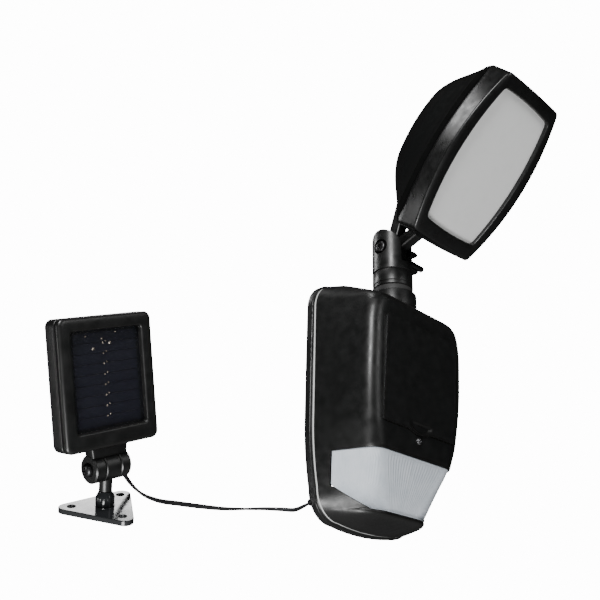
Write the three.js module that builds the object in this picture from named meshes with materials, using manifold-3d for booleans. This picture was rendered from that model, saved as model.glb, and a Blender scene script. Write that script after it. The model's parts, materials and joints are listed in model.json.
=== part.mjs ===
// Solar flood light: a wall-mounted housing with a battery and a motion sensor, a swivelling lamp head
// and a separate solar panel on its own bracket, joined by a flat two-core lead.
// Millimetres, +Z up. The wall is the plane y = 0 and the light faces -Y.

import * as THREE from "three";
import { mergeVertices } from "three/addons/utils/BufferGeometryUtils.js";
import Module from "manifold-3d";

const { degToRad } = THREE.MathUtils;

// ---------------------------------------------------------------- driving dimensions
const GAP = 0.3;                          // clearance between pieces that touch
const WALL = 2.5;                         // moulded wall thickness
const ROUND = 20;                         // sides of a round piece
const SMALL_ROUND = 12;                   // sides of a screw or pin

// back plate: a tray whose rim stands on the wall
const PLATE = { top: 112, bottom: -109, depth: 8, web: 3, rim: 3, flare: 1.5 };
const CROWN = { cornerR: 28, cornerX: 42, cornerZ: 80 };
const CHIN = { cornerR: 26, cornerX: 38, cornerZ: -80, taperTop: -25 };
const HALF_WIDTH = 70;
const KEYHOLE = { z: 62, headR: 5, slotR: 2.5, slot: 9, padR: 11 };
const CENTRE_PAD_R = 20;
const WIRE_HOLE = { x: -42, z: -78, r: 4 };
const SEAL = { front: 9.6, back: 8.3, width: 3, inset: 0.4 };
const POSTS = [[-52, 60], [52, 60], [-50, -48], [50, -48]];
const CASE_SCREW = { shankR: 1.4, length: 17, headR: 3, headThick: 1.8, postR: 4, boreR: 1.7, holeR: 1.8 };

// front housing; its front wall leans so that the top stands further from the wall than the foot
const SHELL_BACK = 9.9;
const FRONT_LEAN = degToRad(4.3);
const FRONT_MID = { y: -70, z: 16 };
const LENS_TOP = -52.5;
const LENS_FOOT = -97.5;
const LENS_BACK = { top: 24, slantZ: -79, slant: 19 };
const LENS_CHIN = 42.5;                   // how far from the wall the lens ends at its foot
const LENS_SETBACK = 1.2;

// battery door, in the leaning frame of the front wall
const DOOR = { halfX: 50.5, halfZ: 46.3, proud: 2.2, corner: 3, openX: 45, openZ: 41 };
const DOOR_TAB = { half: 17, drop: 3 };
const LATCH_SCREW = { z: -54.1, headR: 3, boreR: 1.9, proud: 1.6 };

// battery and electronics
const CELL = { r: 7, length: 48, pitch: 14.6, y: -44, z: 22, nubR: 2.6, nub: 1.4 };
const HOLDER = { side: 2, end: 4, wall: 1.8, floor: 1.6 };
const BOARD = { half: 42, top: 62, foot: -48, y: -18, thick: 1.6 };
const SWITCH = { x: 36, z: -16, half: 4, reach: 6, slotHalf: 1.8, slotReach: 4.4 };
const SENSOR = { z: -76, boardHalf: 22, boardY: -28.4, flangeR: 4.6, canR: 4.1, can: 4.4 };

// swivel on the housing's top
const SWIVEL = { y: -42, r: 18.7, boreR: 7.4, stemR: 7, bossR: 21.5, bossFoot: 84, bossTop: 104 };
const SWIVEL_NUT = { r: 12, height: 6 };
const WASHER_TOP = 109.7;
const LOCK_RING_TOP = 125.7;
const STEM_FOOT = 74;
const PIVOT_Z = 150;
const CLEVIS = { topR: 17.5, slotHalf: 7.7, slotFoot: 134, flatX: 15.5, flatR: 7.5 };
const BOLT = { r: 3, headR: 5.5, headThick: 3.4, end: 47 };
const WING = { hubR: 6, start: 15.8, end: 26, root: 20.5, tip: 36, reach: 14, thick: 3 };

// lamp head, in its own frame: origin on the pivot, -y out of the window, +z up its length
const LAMP_TILT = degToRad(43);
const LAMP = { y: -46, z: 109 };          // centre of the window's face
const FRAME_Z = 107.7;                    // centre of the frame's outline
const FRAME_OUTLINE = { x: 40.4, z: 78.6, bulgeX: 15.4, bulgeZ: 0.8, corner: 0.025, at: FRAME_Z };
const BAND_OUTLINE = { x: 39.2, z: 80.3, bulgeX: 10.4, bulgeZ: 0.8, corner: 0.03, at: FRAME_Z };
const DOME_OUTLINE = { x: 39.2, z: 80.3, bulgeX: 10.4, bulgeZ: 0.8, corner: 0.1, at: FRAME_Z };
const WINDOW_OUTLINE = { x: 35.2, z: 64, bulgeX: 8.8, bulgeZ: 2, corner: 0.03, at: 109 };
const BEZEL = { front: -50.4, edge: -48.4, back: -24.3, wall: 2.6 };
const DOME = { front: -24, depth: 77.8, shrink: 0.62, round: 2.9, grow: 5.2, lift: 10.3 };
const SEAL_RING = { inset: 4.2, width: 2, half: 1.5 };
const LED_BOARD_Y = -28;
const ARM = { half: 6, ringR: 13.5, ringHalf: 7.4, width: 12, backAngle: -24, frontAngle: 26 };
const LED = { columns: 5, rows: 9, pitchX: 11, pitchZ: 12.5, size: 3.2, thick: 0.9 };

// solar panel unit, whose bracket stands on a sloping surface
const BRACKET_FOOT = new THREE.Vector3(-282, -33.4, -139.2);
const BRACKET_NORMAL = new THREE.Vector3(-0.368, -0.421, 0.829).normalize();
const BRACKET = { r: 22.3, corner: 5.5, thick: 3.4, holeR: 1.8, holeAt: 20, turn: degToRad(-50) };
const PANEL_PIVOT = 29;
const PANEL_YAW = degToRad(43.8);
const PANEL_TILT = degToRad(-10.5);
const PANEL = { half: 33.4, foot: 13, top: 92.4, front: -11.2, split: -5.6, back: 5.4, corner: 4.5 };
const OPENING = { half: 25, foot: 24, top: 84 };
const KNUCKLE = { r: 8.8, tongue: 5.2, lug: 5.6, outer: 12.8, boreR: 2.4, pinR: 2 };
const KNUCKLE_SCREW = { headR: 4.2, headThick: 2.6, nutR: 3.8, nutThick: 2.8 };
const NECK = { half: 12.5, front: -5, back: 3, foot: 3 };
const COLLAR = { top: 13, foot: 3.8, outerR: 5.8, postR: 3.9, stemR: 3.3, spigotR: 2.5 };

// flat two-core lead from the panel's back to the housing's rim
const LEAD_R = 1.4;
const LEAD_SIDES = 8;
const LEAD_STEPS = 60;
const LEAD_EXIT = { x: 20, z: 19, reliefLength: 8, reliefR: 3.4, reliefTipR: 2.2 };
const LEAD_POINTS = [
  [-282.4, -37.6, -87.1], [-282.1, -33.2, -86.6], [-280.4, -29, -89.5], [-276.6, -27, -96.5],
  [-271, -26.8, -105.5], [-262.5, -26.5, -115], [-251, -26, -121.5], [-236, -25, -123.6],
  [-217, -23.5, -122.2], [-195, -21, -120.1], [-172, -18.5, -117.4], [-149, -16, -113.4],
  [-127, -13.5, -109.2], [-106, -11, -105.8], [-89, -8.5, -103], [-76, -6, -97.6],
  [-65.4, -4.4, -92.2], [-56.5, -3.6, -87.8], [-49, -3.4, -85],
];
const GROMMET = { r: 3, boreR: 1.9, length: 7 };

// ---------------------------------------------------------------- finishes
const finish = (color, roughness, metalness = 0) => ({ color, roughness, metalness });
const BLACK = finish(0x141516, 0.45);
const GLOSS_BLACK = finish(0x0e0f10, 0.2);
const RUBBER = finish(0x2a2a2a, 0.8);
const SEAL_GREY = finish(0xb8bab8, 0.7);
const MILKY = finish(0xe4e8ea, 0.35);
const FROSTED = finish(0xbabcbc, 0.4);
const STEEL = finish(0x8c8f92, 0.35, 0.9);
const DARK_STEEL = finish(0x2c2d2f, 0.4, 0.8);
const GREEN_BOARD = finish(0x1f5a34, 0.5);
const WHITE = finish(0xe8e8e4, 0.4);
const CELL_GREEN = finish(0x2f6e46, 0.45);
const CELL_BLUE = finish(0x14162c, 0.25);
const GLASS = finish(0x20242c, 0.05);

// ---------------------------------------------------------------- solids
const wasm = await Module();
wasm.setup();

// A closed mesh as a solid, its faces turned out.
function solid(geometry) {
  const plain = new THREE.BufferGeometry();
  plain.setAttribute("position", geometry.getAttribute("position"));
  plain.setIndex(geometry.getIndex());
  const merged = mergeVertices(plain, 1e-4);
  const vertProperties = new Float32Array(merged.getAttribute("position").array);
  const triVerts = new Uint32Array(merged.getIndex().array);
  return new wasm.Manifold(new wasm.Mesh({ numProp: 3, vertProperties, triVerts }));
}

function toGeometry(manifold) {
  const { vertProperties, triVerts } = manifold.getMesh();
  const geometry = new THREE.BufferGeometry();
  geometry.setAttribute("position", new THREE.Float32BufferAttribute(vertProperties, 3));
  geometry.setIndex(Array.from(triVerts));
  geometry.computeVertexNormals();
  return geometry;
}

const join = (...solids) => solids.reduce((sum, next) => sum.add(next));
const cut = (body, ...tools) => tools.reduce((rest, tool) => rest.subtract(tool), body);

// Adds one named piece to a group.
function piece(group, name, body, look) {
  const geometry = body.getMesh ? toGeometry(body) : body;
  const mesh = new THREE.Mesh(geometry, new THREE.MeshStandardMaterial(look));
  mesh.name = name;
  group.add(mesh);
  return mesh;
}

const AXES = {
  x: new THREE.Matrix4().makeBasis(
    new THREE.Vector3(0, 1, 0), new THREE.Vector3(0, 0, 1), new THREE.Vector3(1, 0, 0)),
  y: new THREE.Matrix4().makeRotationX(Math.PI / 2),
  z: new THREE.Matrix4(),
};

// A shape drawn in the plane across an axis. Along x the shape's own axes are y and z, and it grows to
// +x; along y they are x and z, and it grows to -y; along z they are x and y, and it grows to +z.
function prism(axis, shape, depth, at = [0, 0, 0], segments = 10) {
  const geometry = new THREE.ExtrudeGeometry(
    shape, { depth, bevelEnabled: false, curveSegments: segments });
  geometry.applyMatrix4(AXES[axis]);
  geometry.translate(...at);
  return solid(geometry);
}

const circle = (r, u = 0, v = 0) => new THREE.Shape().absarc(u, v, r, 0, 2 * Math.PI);

function cylinder(axis, r, depth, at, sides = ROUND) {
  return prism(axis, circle(r), depth, at, sides / 2);
}

function rectangle(u0, u1, v0, v1, r = 0) {
  const shape = new THREE.Shape();
  shape.moveTo(u0 + r, v0);
  shape.lineTo(u1 - r, v0);
  if (r) shape.absarc(u1 - r, v0 + r, r, -Math.PI / 2, 0);
  shape.lineTo(u1, v1 - r);
  if (r) shape.absarc(u1 - r, v1 - r, r, 0, Math.PI / 2);
  shape.lineTo(u0 + r, v1);
  if (r) shape.absarc(u0 + r, v1 - r, r, Math.PI / 2, Math.PI);
  shape.lineTo(u0, v0 + r);
  if (r) shape.absarc(u0 + r, v0 + r, r, Math.PI, 1.5 * Math.PI);
  return shape;
}

function box(x0, x1, y0, y1, z0, z1) {
  const geometry = new THREE.BoxGeometry(x1 - x0, y1 - y0, z1 - z0);
  geometry.translate((x0 + x1) / 2, (y0 + y1) / 2, (z0 + z1) / 2);
  return solid(geometry);
}

// A turned piece about the z axis, from a half profile of [radius, height] that closes on the axis.
function turned(profile, sides = ROUND) {
  const half = profile.map(([r, height]) => new THREE.Vector2(r, height));
  return solid(new THREE.LatheGeometry(half, sides).rotateX(Math.PI / 2));
}

// A skin through rings of equal count, closed by a fan at each end. Rings go anticlockwise about the
// direction in which they follow each other.
function loft(rings) {
  const count = rings[0].length;
  const points = rings.flat();
  const index = [];
  for (let k = 0; k + 1 < rings.length; k++) {
    for (let i = 0; i < count; i++) {
      const a = k * count + i;
      const b = k * count + ((i + 1) % count);
      index.push(a, b, b + count, a, b + count, a + count);
    }
  }
  const last = (rings.length - 1) * count;
  const middle = (ring) =>
    ring.reduce((sum, p) => sum.add(p), new THREE.Vector3()).divideScalar(ring.length);
  points.push(middle(rings[0]), middle(rings[rings.length - 1]));
  for (let i = 0; i < count; i++) {
    const next = (i + 1) % count;
    index.push(points.length - 2, next, i);
    index.push(points.length - 1, last + i, last + next);
  }
  const geometry = new THREE.BufferGeometry().setFromPoints(points);
  geometry.setIndex(index);
  return solid(geometry);
}

// Straight-line interpolation through [at, value] pairs in rising order.
function along(pairs, at) {
  if (at <= pairs[0][0]) return pairs[0][1];
  for (let k = 1; k < pairs.length; k++) {
    const [a, va] = pairs[k - 1];
    const [b, vb] = pairs[k];
    if (at <= b) return va + ((vb - va) * (at - a)) / (b - a);
  }
  return pairs[pairs.length - 1][1];
}

// ---------------------------------------------------------------- housing outline
// Half the width of the housing's back edge at a height.
function plateHalf(z) {
  const crownFoot = CROWN.cornerZ + CROWN.cornerR;
  const chinTop = CHIN.cornerZ - CHIN.cornerR;
  if (z >= crownFoot) {
    return CROWN.cornerX * Math.sqrt(Math.max(0, (PLATE.top - z) / (PLATE.top - crownFoot)));
  }
  if (z >= CROWN.cornerZ) return CROWN.cornerX + Math.sqrt(CROWN.cornerR ** 2 - (z - CROWN.cornerZ) ** 2);
  if (z >= CHIN.taperTop) return HALF_WIDTH;
  if (z >= CHIN.cornerZ) {
    const drop = (CHIN.taperTop - z) / (CHIN.taperTop - CHIN.cornerZ);
    return HALF_WIDTH - (HALF_WIDTH - CHIN.cornerX - CHIN.cornerR) * drop ** 2;
  }
  if (z >= chinTop) return CHIN.cornerX + Math.sqrt(CHIN.cornerR ** 2 - (CHIN.cornerZ - z) ** 2);
  return CHIN.cornerX * Math.sqrt(Math.max(0, (z - PLATE.bottom) / (chinTop - PLATE.bottom)));
}

// The closed outline of the back edge, grown outwards by a little.
function plateOutline(grow = 0, steps = 22) {
  const right = [];
  const middle = (PLATE.top + PLATE.bottom) / 2;
  const half = (PLATE.top - PLATE.bottom) / 2;
  for (let k = 0; k <= steps; k++) {
    const z = middle - half * Math.cos((Math.PI * k) / steps);
    right.push(new THREE.Vector2(plateHalf(z), z));
  }
  const left = right.slice(1, -1).reverse().map((p) => new THREE.Vector2(-p.x, p.y));
  const ring = [...right, ...left];
  return ring.map((p) => {
    const reach = p.length();
    return p.clone().multiplyScalar((reach + grow) / reach);
  });
}

const plateShape = (grow) => new THREE.Shape(plateOutline(grow));

// Where the front wall's plane lies at a height.
const frontPlane = (z) => FRONT_MID.y - Math.tan(FRONT_LEAN) * (z - FRONT_MID.z);

// The housing's front at each height: chin, lens, front wall and crown.
const FRONT_PROFILE = [
  [PLATE.bottom, -SHELL_BACK - 1.5], [-106, -28], [-103, -43], [-101, -47.2], [-98, -48], [-97, -47],
  [LENS_TOP - 0.5, frontPlane(LENS_TOP) + 1], [LENS_TOP + 0.5, frontPlane(LENS_TOP)],
  [72, frontPlane(72)], [80, -72], [85, -67.5], [88, -61], [PLATE.top, -SHELL_BACK - 1.5],
];
const FRONT_HALF = [
  [PLATE.bottom, 20], [-104, 34], [-97, 36], [-53, 52], [-30, 60], [20, 65], [50, 65], [66, 63],
  [78, 58], [90, 51], [PLATE.top, 40],
];
const FRONT_CORNER = [[-109, 5], [-103, 14], [-97, 18], [-60, 11], [-40, 14], [72, 14], [90, 12], [108, 4]];
const LEVELS = [
  -107.5, -106, -104.5, -103, -101, -99.5, -98, -97, -90, -80, -70, -60, -53, -52, -40, -10, 20, 50,
  72, 80, 85, 88, 93, 98, 103, 107, 110, 111.7,
];

// One level ring of the housing, moved inwards by an inset; reach is where its back edge lies.
function housingRing(z, inset, reach) {
  const back = Math.max(0.5, plateHalf(z) - inset);
  const y = Math.min(along(FRONT_PROFILE, z) + inset, -reach - 0.5);
  const front = Math.max(0.4, Math.min(along(FRONT_HALF, z) - inset, back - 0.2));
  const corner = Math.min(Math.max(1, along(FRONT_CORNER, z) - inset), (-reach - y) * 0.8, front * 0.8);
  const ring = [new THREE.Vector3(back, -reach, z), new THREE.Vector3(-back, -reach, z)];
  const corners = [[-1, 0], [1, 1]];
  for (const [side, flip] of corners) {
    const tip = new THREE.Vector2(side * front, y);
    const sideDirection = new THREE.Vector2(side * back, -reach).sub(tip).normalize();
    const onSide = tip.clone().addScaledVector(sideDirection, corner);
    const onFront = new THREE.Vector2(tip.x - side * corner, y);
    const [from, to] = flip ? [onFront, onSide] : [onSide, onFront];
    const curve = new THREE.QuadraticBezierCurve(from, tip, to);
    for (const p of curve.getPoints(4)) ring.push(new THREE.Vector3(p.x, p.y, z));
  }
  return ring;
}

const housingSolid = (inset, reach) => {
  const low = PLATE.bottom + inset;
  const high = PLATE.top - inset;
  const inside = LEVELS.filter((z) => z > low + 0.2 && z < high - 0.2);
  const levels = [low + 0.2, ...inside, high - 0.2];
  return loft(levels.map((z) => housingRing(z, inset, reach)));
};

// The sensor lens fills this side-view outline, which reaches back along both sides.
function lensOutline(grow) {
  const front = -FRONT_MID.y + 20;
  return new THREE.Shape([
    new THREE.Vector2(-LENS_BACK.top + grow, LENS_TOP + grow),
    new THREE.Vector2(-front, LENS_TOP + grow),
    new THREE.Vector2(-front, LENS_FOOT - grow),
    new THREE.Vector2(-LENS_CHIN, LENS_FOOT - grow),
    new THREE.Vector2(-LENS_BACK.slant + grow, LENS_BACK.slantZ - grow),
  ]);
}

// ---------------------------------------------------------------- wall plate and housing
const light = new THREE.Group();

function keyhole(z) {
  const slot = rectangle(-KEYHOLE.slotR, KEYHOLE.slotR, z, z + KEYHOLE.slot);
  const back = 1;
  const depth = PLATE.depth + 2 * back;
  return join(
    prism("y", slot, depth, [0, back, 0]),
    cylinder("y", KEYHOLE.slotR, depth, [0, back, z + KEYHOLE.slot], SMALL_ROUND),
    cylinder("y", KEYHOLE.headR, depth, [0, back, z], SMALL_ROUND),
  );
}

const leadCurve = new THREE.CatmullRomCurve3(LEAD_POINTS.map((p) => new THREE.Vector3(...p)));
const leadEnd = new THREE.Vector3(...LEAD_POINTS[LEAD_POINTS.length - 3]);
const leadEndDirection = new THREE.Vector3(...LEAD_POINTS[LEAD_POINTS.length - 2]).sub(leadEnd).normalize();

// A rod along the lead where it passes the rim.
function rimRod(r, length) {
  const rod = new THREE.CylinderGeometry(r, r, length, SMALL_ROUND);
  const upright = new THREE.Vector3(0, 1, 0);
  rod.applyQuaternion(new THREE.Quaternion().setFromUnitVectors(upright, leadEndDirection));
  rod.translate(...leadEnd.clone().addScaledVector(leadEndDirection, 2).toArray());
  return solid(rod);
}

function buildBackPlate() {
  const outer = prism("y", plateShape(PLATE.flare), PLATE.depth - 2, [0, 0, 0]);
  const front = prism("y", plateShape(0), 2.2, [0, -PLATE.depth + 2.2, 0]);
  const hollow = prism("y", plateShape(PLATE.flare - PLATE.rim), PLATE.depth - PLATE.web + 1, [0, 1, 0]);
  const pads = [-KEYHOLE.z, KEYHOLE.z].map((z) =>
    cylinder("y", KEYHOLE.padR, PLATE.depth - 1, [0, 0, z + KEYHOLE.slot / 2]));
  const centre = cylinder("y", CENTRE_PAD_R, PLATE.depth - 1, [0, 0, 0]);
  const tray = join(cut(join(outer, front), hollow), centre, ...pads);
  const through = 4 * PLATE.depth;
  const { x: wireX, z: wireZ, r: wireR } = WIRE_HOLE;
  const wireHole = cylinder("y", wireR, through, [wireX, PLATE.depth, wireZ], SMALL_ROUND);
  const screwHoles = POSTS.map(([x, z]) =>
    cylinder("y", CASE_SCREW.holeR, through, [x, PLATE.depth, z], SMALL_ROUND));
  const holes = [...[-KEYHOLE.z, KEYHOLE.z].map(keyhole), ...screwHoles];
  piece(light, "back_plate", cut(tray, ...holes, wireHole, rimRod(GROMMET.r + GAP, 30)), BLACK);
}

function buildSeal() {
  const outer = prism("y", plateShape(-SEAL.inset), SEAL.front - SEAL.back, [0, -SEAL.back, 0]);
  const inner = prism("y", plateShape(-SEAL.inset - SEAL.width), 4, [0, -SEAL.back + 1, 0]);
  piece(light, "housing_seal", cut(outer, inner), SEAL_GREY);
}

const leaning = new THREE.Matrix4()
  .makeTranslation(0, FRONT_MID.y, FRONT_MID.z)
  .multiply(new THREE.Matrix4().makeRotationX(FRONT_LEAN));

// Moves a solid from the leaning frame of the front wall to the light's frame.
const lean = (body) => solid(toGeometry(body).applyMatrix4(leaning));

function buildFrontHousing() {
  const shell = cut(housingSolid(0, SHELL_BACK), housingSolid(WALL, SHELL_BACK - 3));
  const boss = cylinder("z", SWIVEL.bossR, SWIVEL.bossTop - SWIVEL.bossFoot, [0, SWIVEL.y, SWIVEL.bossFoot]);
  const bore = cylinder("z", SWIVEL.boreR, 60, [0, SWIVEL.y, 60]);
  const lensHole = prism("x", lensOutline(0), 200, [-100, 0, 0]);
  const { openX, openZ } = DOOR;
  const doorHole = lean(prism("y", rectangle(-openX, openX, -openZ, openZ, 2), 24, [0, 12, 0]));
  const screwHole = lean(cylinder("y", LATCH_SCREW.boreR, 20, [0, 10, LATCH_SCREW.z], SMALL_ROUND));
  const posts = POSTS.map(([x, z]) =>
    cylinder("y", CASE_SCREW.postR, 70, [x, -SHELL_BACK - 0.4, z], SMALL_ROUND));
  const inside = housingSolid(WALL - 0.5, SHELL_BACK + 0.2);
  const postBores = POSTS.map(([x, z]) =>
    cylinder("y", CASE_SCREW.boreR, 24, [x, 0, z], SMALL_ROUND));
  const grownPosts = posts.map((post) => post.intersect(inside));
  const seat = cylinder("z", SWIVEL.r + 0.8, 30, [0, SWIVEL.y, SWIVEL.bossTop]);
  const whole = join(shell, boss, ...grownPosts);
  piece(light, "front_housing", cut(whole, seat, bore, lensHole, doorHole, screwHole, ...postBores), BLACK);
}

function buildCaseScrews() {
  POSTS.forEach(([x, z], k) => {
    const { shankR, length, headR, headThick } = CASE_SCREW;
    const webBack = -PLATE.depth + PLATE.web;
    const shank = cylinder("y", shankR, length, [x, webBack + 0.4, z], SMALL_ROUND);
    const head = cylinder("y", headR, headThick, [x, webBack + headThick + 0.4, z], SMALL_ROUND);
    piece(light, `case_screw_${k + 1}`, join(shank, head), STEEL);
  });
}

function buildLens() {
  const skin = cut(housingSolid(LENS_SETBACK, SHELL_BACK), housingSolid(LENS_SETBACK + 2, SHELL_BACK - 3));
  piece(light, "sensor_lens", skin.intersect(prism("x", lensOutline(-GAP), 200, [-100, 0, 0])), MILKY);
}

function buildDoor() {
  const { halfX, halfZ, proud, openX, openZ, corner } = DOOR;
  const face = prism("y", rectangle(-halfX, halfX, -halfZ, halfZ, corner), proud - GAP, [0, -GAP, 0]);
  const tabGeometry = new THREE.CylinderGeometry(1, 1, proud - GAP, 24);
  tabGeometry.scale(DOOR_TAB.half, 1, DOOR_TAB.drop * 2);
  tabGeometry.translate(0, -GAP - (proud - GAP) / 2, -halfZ + DOOR_TAB.drop);
  const [x, z] = [openX - 1, openZ - 1];
  const lipWall = 2;
  const lip = cut(
    prism("y", rectangle(-x, x, -z, z, 2), 3 + GAP, [0, 3, 0]),
    prism("y", rectangle(lipWall - x, x - lipWall, lipWall - z, z - lipWall, 1), 8, [0, 6, 0]),
  );
  const scoop = new THREE.SphereGeometry(1, 16, 10);
  scoop.scale(15, 2.2, 5);
  scoop.translate(0, -proud - 0.6, -halfZ + 5.5);
  const web = prism("y", rectangle(-x, x, -z, z, 2), 0.6, [0, GAP, 0]);
  const body = cut(join(face, solid(tabGeometry), lip, web), solid(scoop));
  piece(light, "battery_door", lean(body), BLACK);
}

function buildDoorScrew() {
  const { z, headR, proud } = LATCH_SCREW;
  const head = cylinder("y", headR, proud, [0, -GAP, z], SMALL_ROUND);
  const shank = cylinder("y", 1.5, 9, [0, 8, z], SMALL_ROUND);
  const slot = prism("y", rectangle(-0.5, 0.5, z - 2, z + 2), 2, [0, -proud + 0.4, 0]);
  piece(light, "door_screw", lean(cut(join(head, shank), slot)), DARK_STEEL);
}

// ---------------------------------------------------------------- battery and electronics
function buildBattery() {
  const xs = [-1.5, -0.5, 0.5, 1.5].map((k) => k * CELL.pitch);
  xs.forEach((x, k) => {
    const can = cylinder("z", CELL.r, CELL.length, [x, CELL.y, CELL.z - CELL.length / 2]);
    const nubFoot = CELL.z + CELL.length / 2 - 0.2;
    const nub = cylinder("z", CELL.nubR, CELL.nub + 0.2, [x, CELL.y, nubFoot], SMALL_ROUND);
    piece(light, `battery_cell_${k + 1}`, join(can, nub), CELL_GREEN);
  });
  const halfX = 2 * CELL.pitch + HOLDER.side;
  const halfZ = CELL.length / 2 + HOLDER.end;
  const back = CELL.y + CELL.r + 2;
  const { wall, floor } = HOLDER;
  const [inX, inZ] = [halfX - wall, halfZ - wall];
  const tray = cut(
    box(-halfX, halfX, CELL.y - 2, back, CELL.z - halfZ, CELL.z + halfZ),
    box(-inX, inX, CELL.y - 10, back - floor, CELL.z - inZ, CELL.z + inZ),
  );
  piece(light, "battery_holder", tray, BLACK);
}

function buildElectronics() {
  const { half, top, foot, y, thick } = BOARD;
  const inset = 6;
  const corners = [[-1, top], [1, top], [-1, foot + 2 * inset], [1, foot + 2 * inset]];
  const holes = corners.map(([side, z]) =>
    cylinder("y", 1.8, 10, [side * (half - inset), y + 5, z - inset], SMALL_ROUND));
  const relay = box(-30, -14, y - 9, y + 0.2, -40, -24);
  const connector = box(-6, 10, y - 6, y + 0.2, -44, -30);
  const capacitor = cylinder("y", 5, 14, [26, y + 0.2, -34], SMALL_ROUND);
  const board = box(-half, half, y, y + thick, foot, top);
  const fitted = join(board, relay, connector, capacitor);
  piece(light, "control_board", cut(fitted, ...holes), GREEN_BOARD);

  const { x, z, half: bodyHalf, reach, slotHalf, slotReach } = SWITCH;
  const body = cut(
    box(x - bodyHalf, x + bodyHalf, y - 7, y - GAP, z - reach, z + reach),
    box(x - slotHalf, x + slotHalf, y - 8, y - 3, z - slotReach, z + slotReach),
  );
  piece(light, "mode_switch_body", body, DARK_STEEL);
  const [thumb, thumbReach] = [slotHalf - 0.4, 1.6];
  const slider = box(x - thumb, x + thumb, y - 11, y - 3.4, z - thumbReach, z + thumbReach);
  piece(light, "mode_switch_slider", slider, WHITE);
}

function buildSensor() {
  const { z, boardHalf, boardY, flangeR, canR, can } = SENSOR;
  const boardFront = boardY - BOARD.thick;
  piece(light, "sensor_board", box(-boardHalf, boardHalf, boardFront, boardY, z - 10, z + 12), GREEN_BOARD);
  const seat = boardFront - GAP;
  const flange = cylinder("y", flangeR, 1, [0, seat, z], SMALL_ROUND);
  const cap = cylinder("y", canR, can, [0, seat - 0.3, z], SMALL_ROUND);
  piece(light, "motion_sensor", join(flange, cap), STEEL);
}

// ---------------------------------------------------------------- swivel and clevis
function buildSwivel() {
  const ring = (r, low, high) => cut(
    cylinder("z", r, high - low, [0, SWIVEL.y, low]),
    cylinder("z", SWIVEL.boreR, 60, [0, SWIVEL.y, low - 10]),
  );
  piece(light, "swivel_washer", ring(SWIVEL.r - 0.4, SWIVEL.bossTop + GAP, WASHER_TOP), RUBBER);
  piece(light, "pan_lock_ring", ring(SWIVEL.r, WASHER_TOP + GAP, LOCK_RING_TOP), BLACK);
  const nutShape = new THREE.Shape();
  for (let k = 0; k < 6; k++) {
    const angle = (k * Math.PI) / 3;
    const corner = [SWIVEL_NUT.r * Math.cos(angle), SWIVEL_NUT.r * Math.sin(angle)];
    if (k) nutShape.lineTo(...corner);
    else nutShape.moveTo(...corner);
  }
  const { height } = SWIVEL_NUT;
  const nut = prism("z", nutShape, height, [0, SWIVEL.y, SWIVEL.bossFoot - height - GAP]);
  piece(light, "swivel_nut", cut(nut, cylinder("z", SWIVEL.boreR, 20, [0, SWIVEL.y, 70])), STEEL);
}

function buildClevis() {
  const foot = LOCK_RING_TOP + GAP;
  const height = PIVOT_Z + CLEVIS.topR + 4 - foot;
  const column = cylinder("z", SWIVEL.r, height, [0, SWIVEL.y, foot], 28);
  const profile = new THREE.Shape();
  profile.moveTo(-30, foot - 1);
  profile.lineTo(30, foot - 1);
  profile.lineTo(30, PIVOT_Z - 8);
  profile.absarc(0, PIVOT_Z, CLEVIS.topR, -0.2, Math.PI + 0.2);
  profile.lineTo(-30, PIVOT_Z - 8);
  const rounded = column.intersect(prism("x", profile, 60, [-30, SWIVEL.y, 0], 16));
  const slot = box(-CLEVIS.slotHalf, CLEVIS.slotHalf, SWIVEL.y - 30, SWIVEL.y + 30, CLEVIS.slotFoot, 200);
  const pinHole = cylinder("x", BOLT.r + 0.35, 80, [-40, SWIVEL.y, PIVOT_Z]);
  const flats = [-40, CLEVIS.flatX].map((x) =>
    cylinder("x", CLEVIS.flatR, 40 - CLEVIS.flatX, [x, SWIVEL.y, PIVOT_Z]));
  const stem = cylinder("z", SWIVEL.stemR, foot + 1 - STEM_FOOT, [0, SWIVEL.y, STEM_FOOT]);
  const wireWay = cylinder("z", 4, 100, [0, SWIVEL.y, STEM_FOOT - 10], SMALL_ROUND);
  piece(light, "clevis", cut(join(rounded, stem), slot, pinHole, wireWay, ...flats), BLACK);
}

function buildPivotBolt() {
  const headAt = -CLEVIS.flatX - GAP - BOLT.headThick;
  const shank = cylinder("x", BOLT.r, BOLT.end - headAt, [headAt, SWIVEL.y, PIVOT_Z], SMALL_ROUND);
  const head = cylinder("x", BOLT.headR, BOLT.headThick, [headAt, SWIVEL.y, PIVOT_Z]);
  piece(light, "pivot_bolt", join(shank, head), DARK_STEEL);

  const hub = cylinder("x", WING.hubR, WING.end - WING.start, [WING.start, SWIVEL.y, PIVOT_Z]);
  const lobes = [-1, 1].map((side) => {
    const lobe = new THREE.CylinderGeometry(1, 1, WING.thick, 18);
    lobe.scale((WING.tip - WING.root) / 2, 1, (WING.reach - 2) / 2);
    lobe.translate((WING.root + WING.tip) / 2, SWIVEL.y, PIVOT_Z + side * (WING.reach + 4) / 2);
    return solid(lobe);
  });
  const bore = cylinder("x", BOLT.r + 0.35, 60, [0, SWIVEL.y, PIVOT_Z], SMALL_ROUND);
  piece(light, "wing_nut", cut(join(hub, ...lobes), bore), DARK_STEEL);
}

// ---------------------------------------------------------------- lamp head
const lamp = new THREE.Group();
lamp.position.set(0, SWIVEL.y, PIVOT_Z);
lamp.rotation.x = LAMP_TILT;
light.add(lamp);

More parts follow.
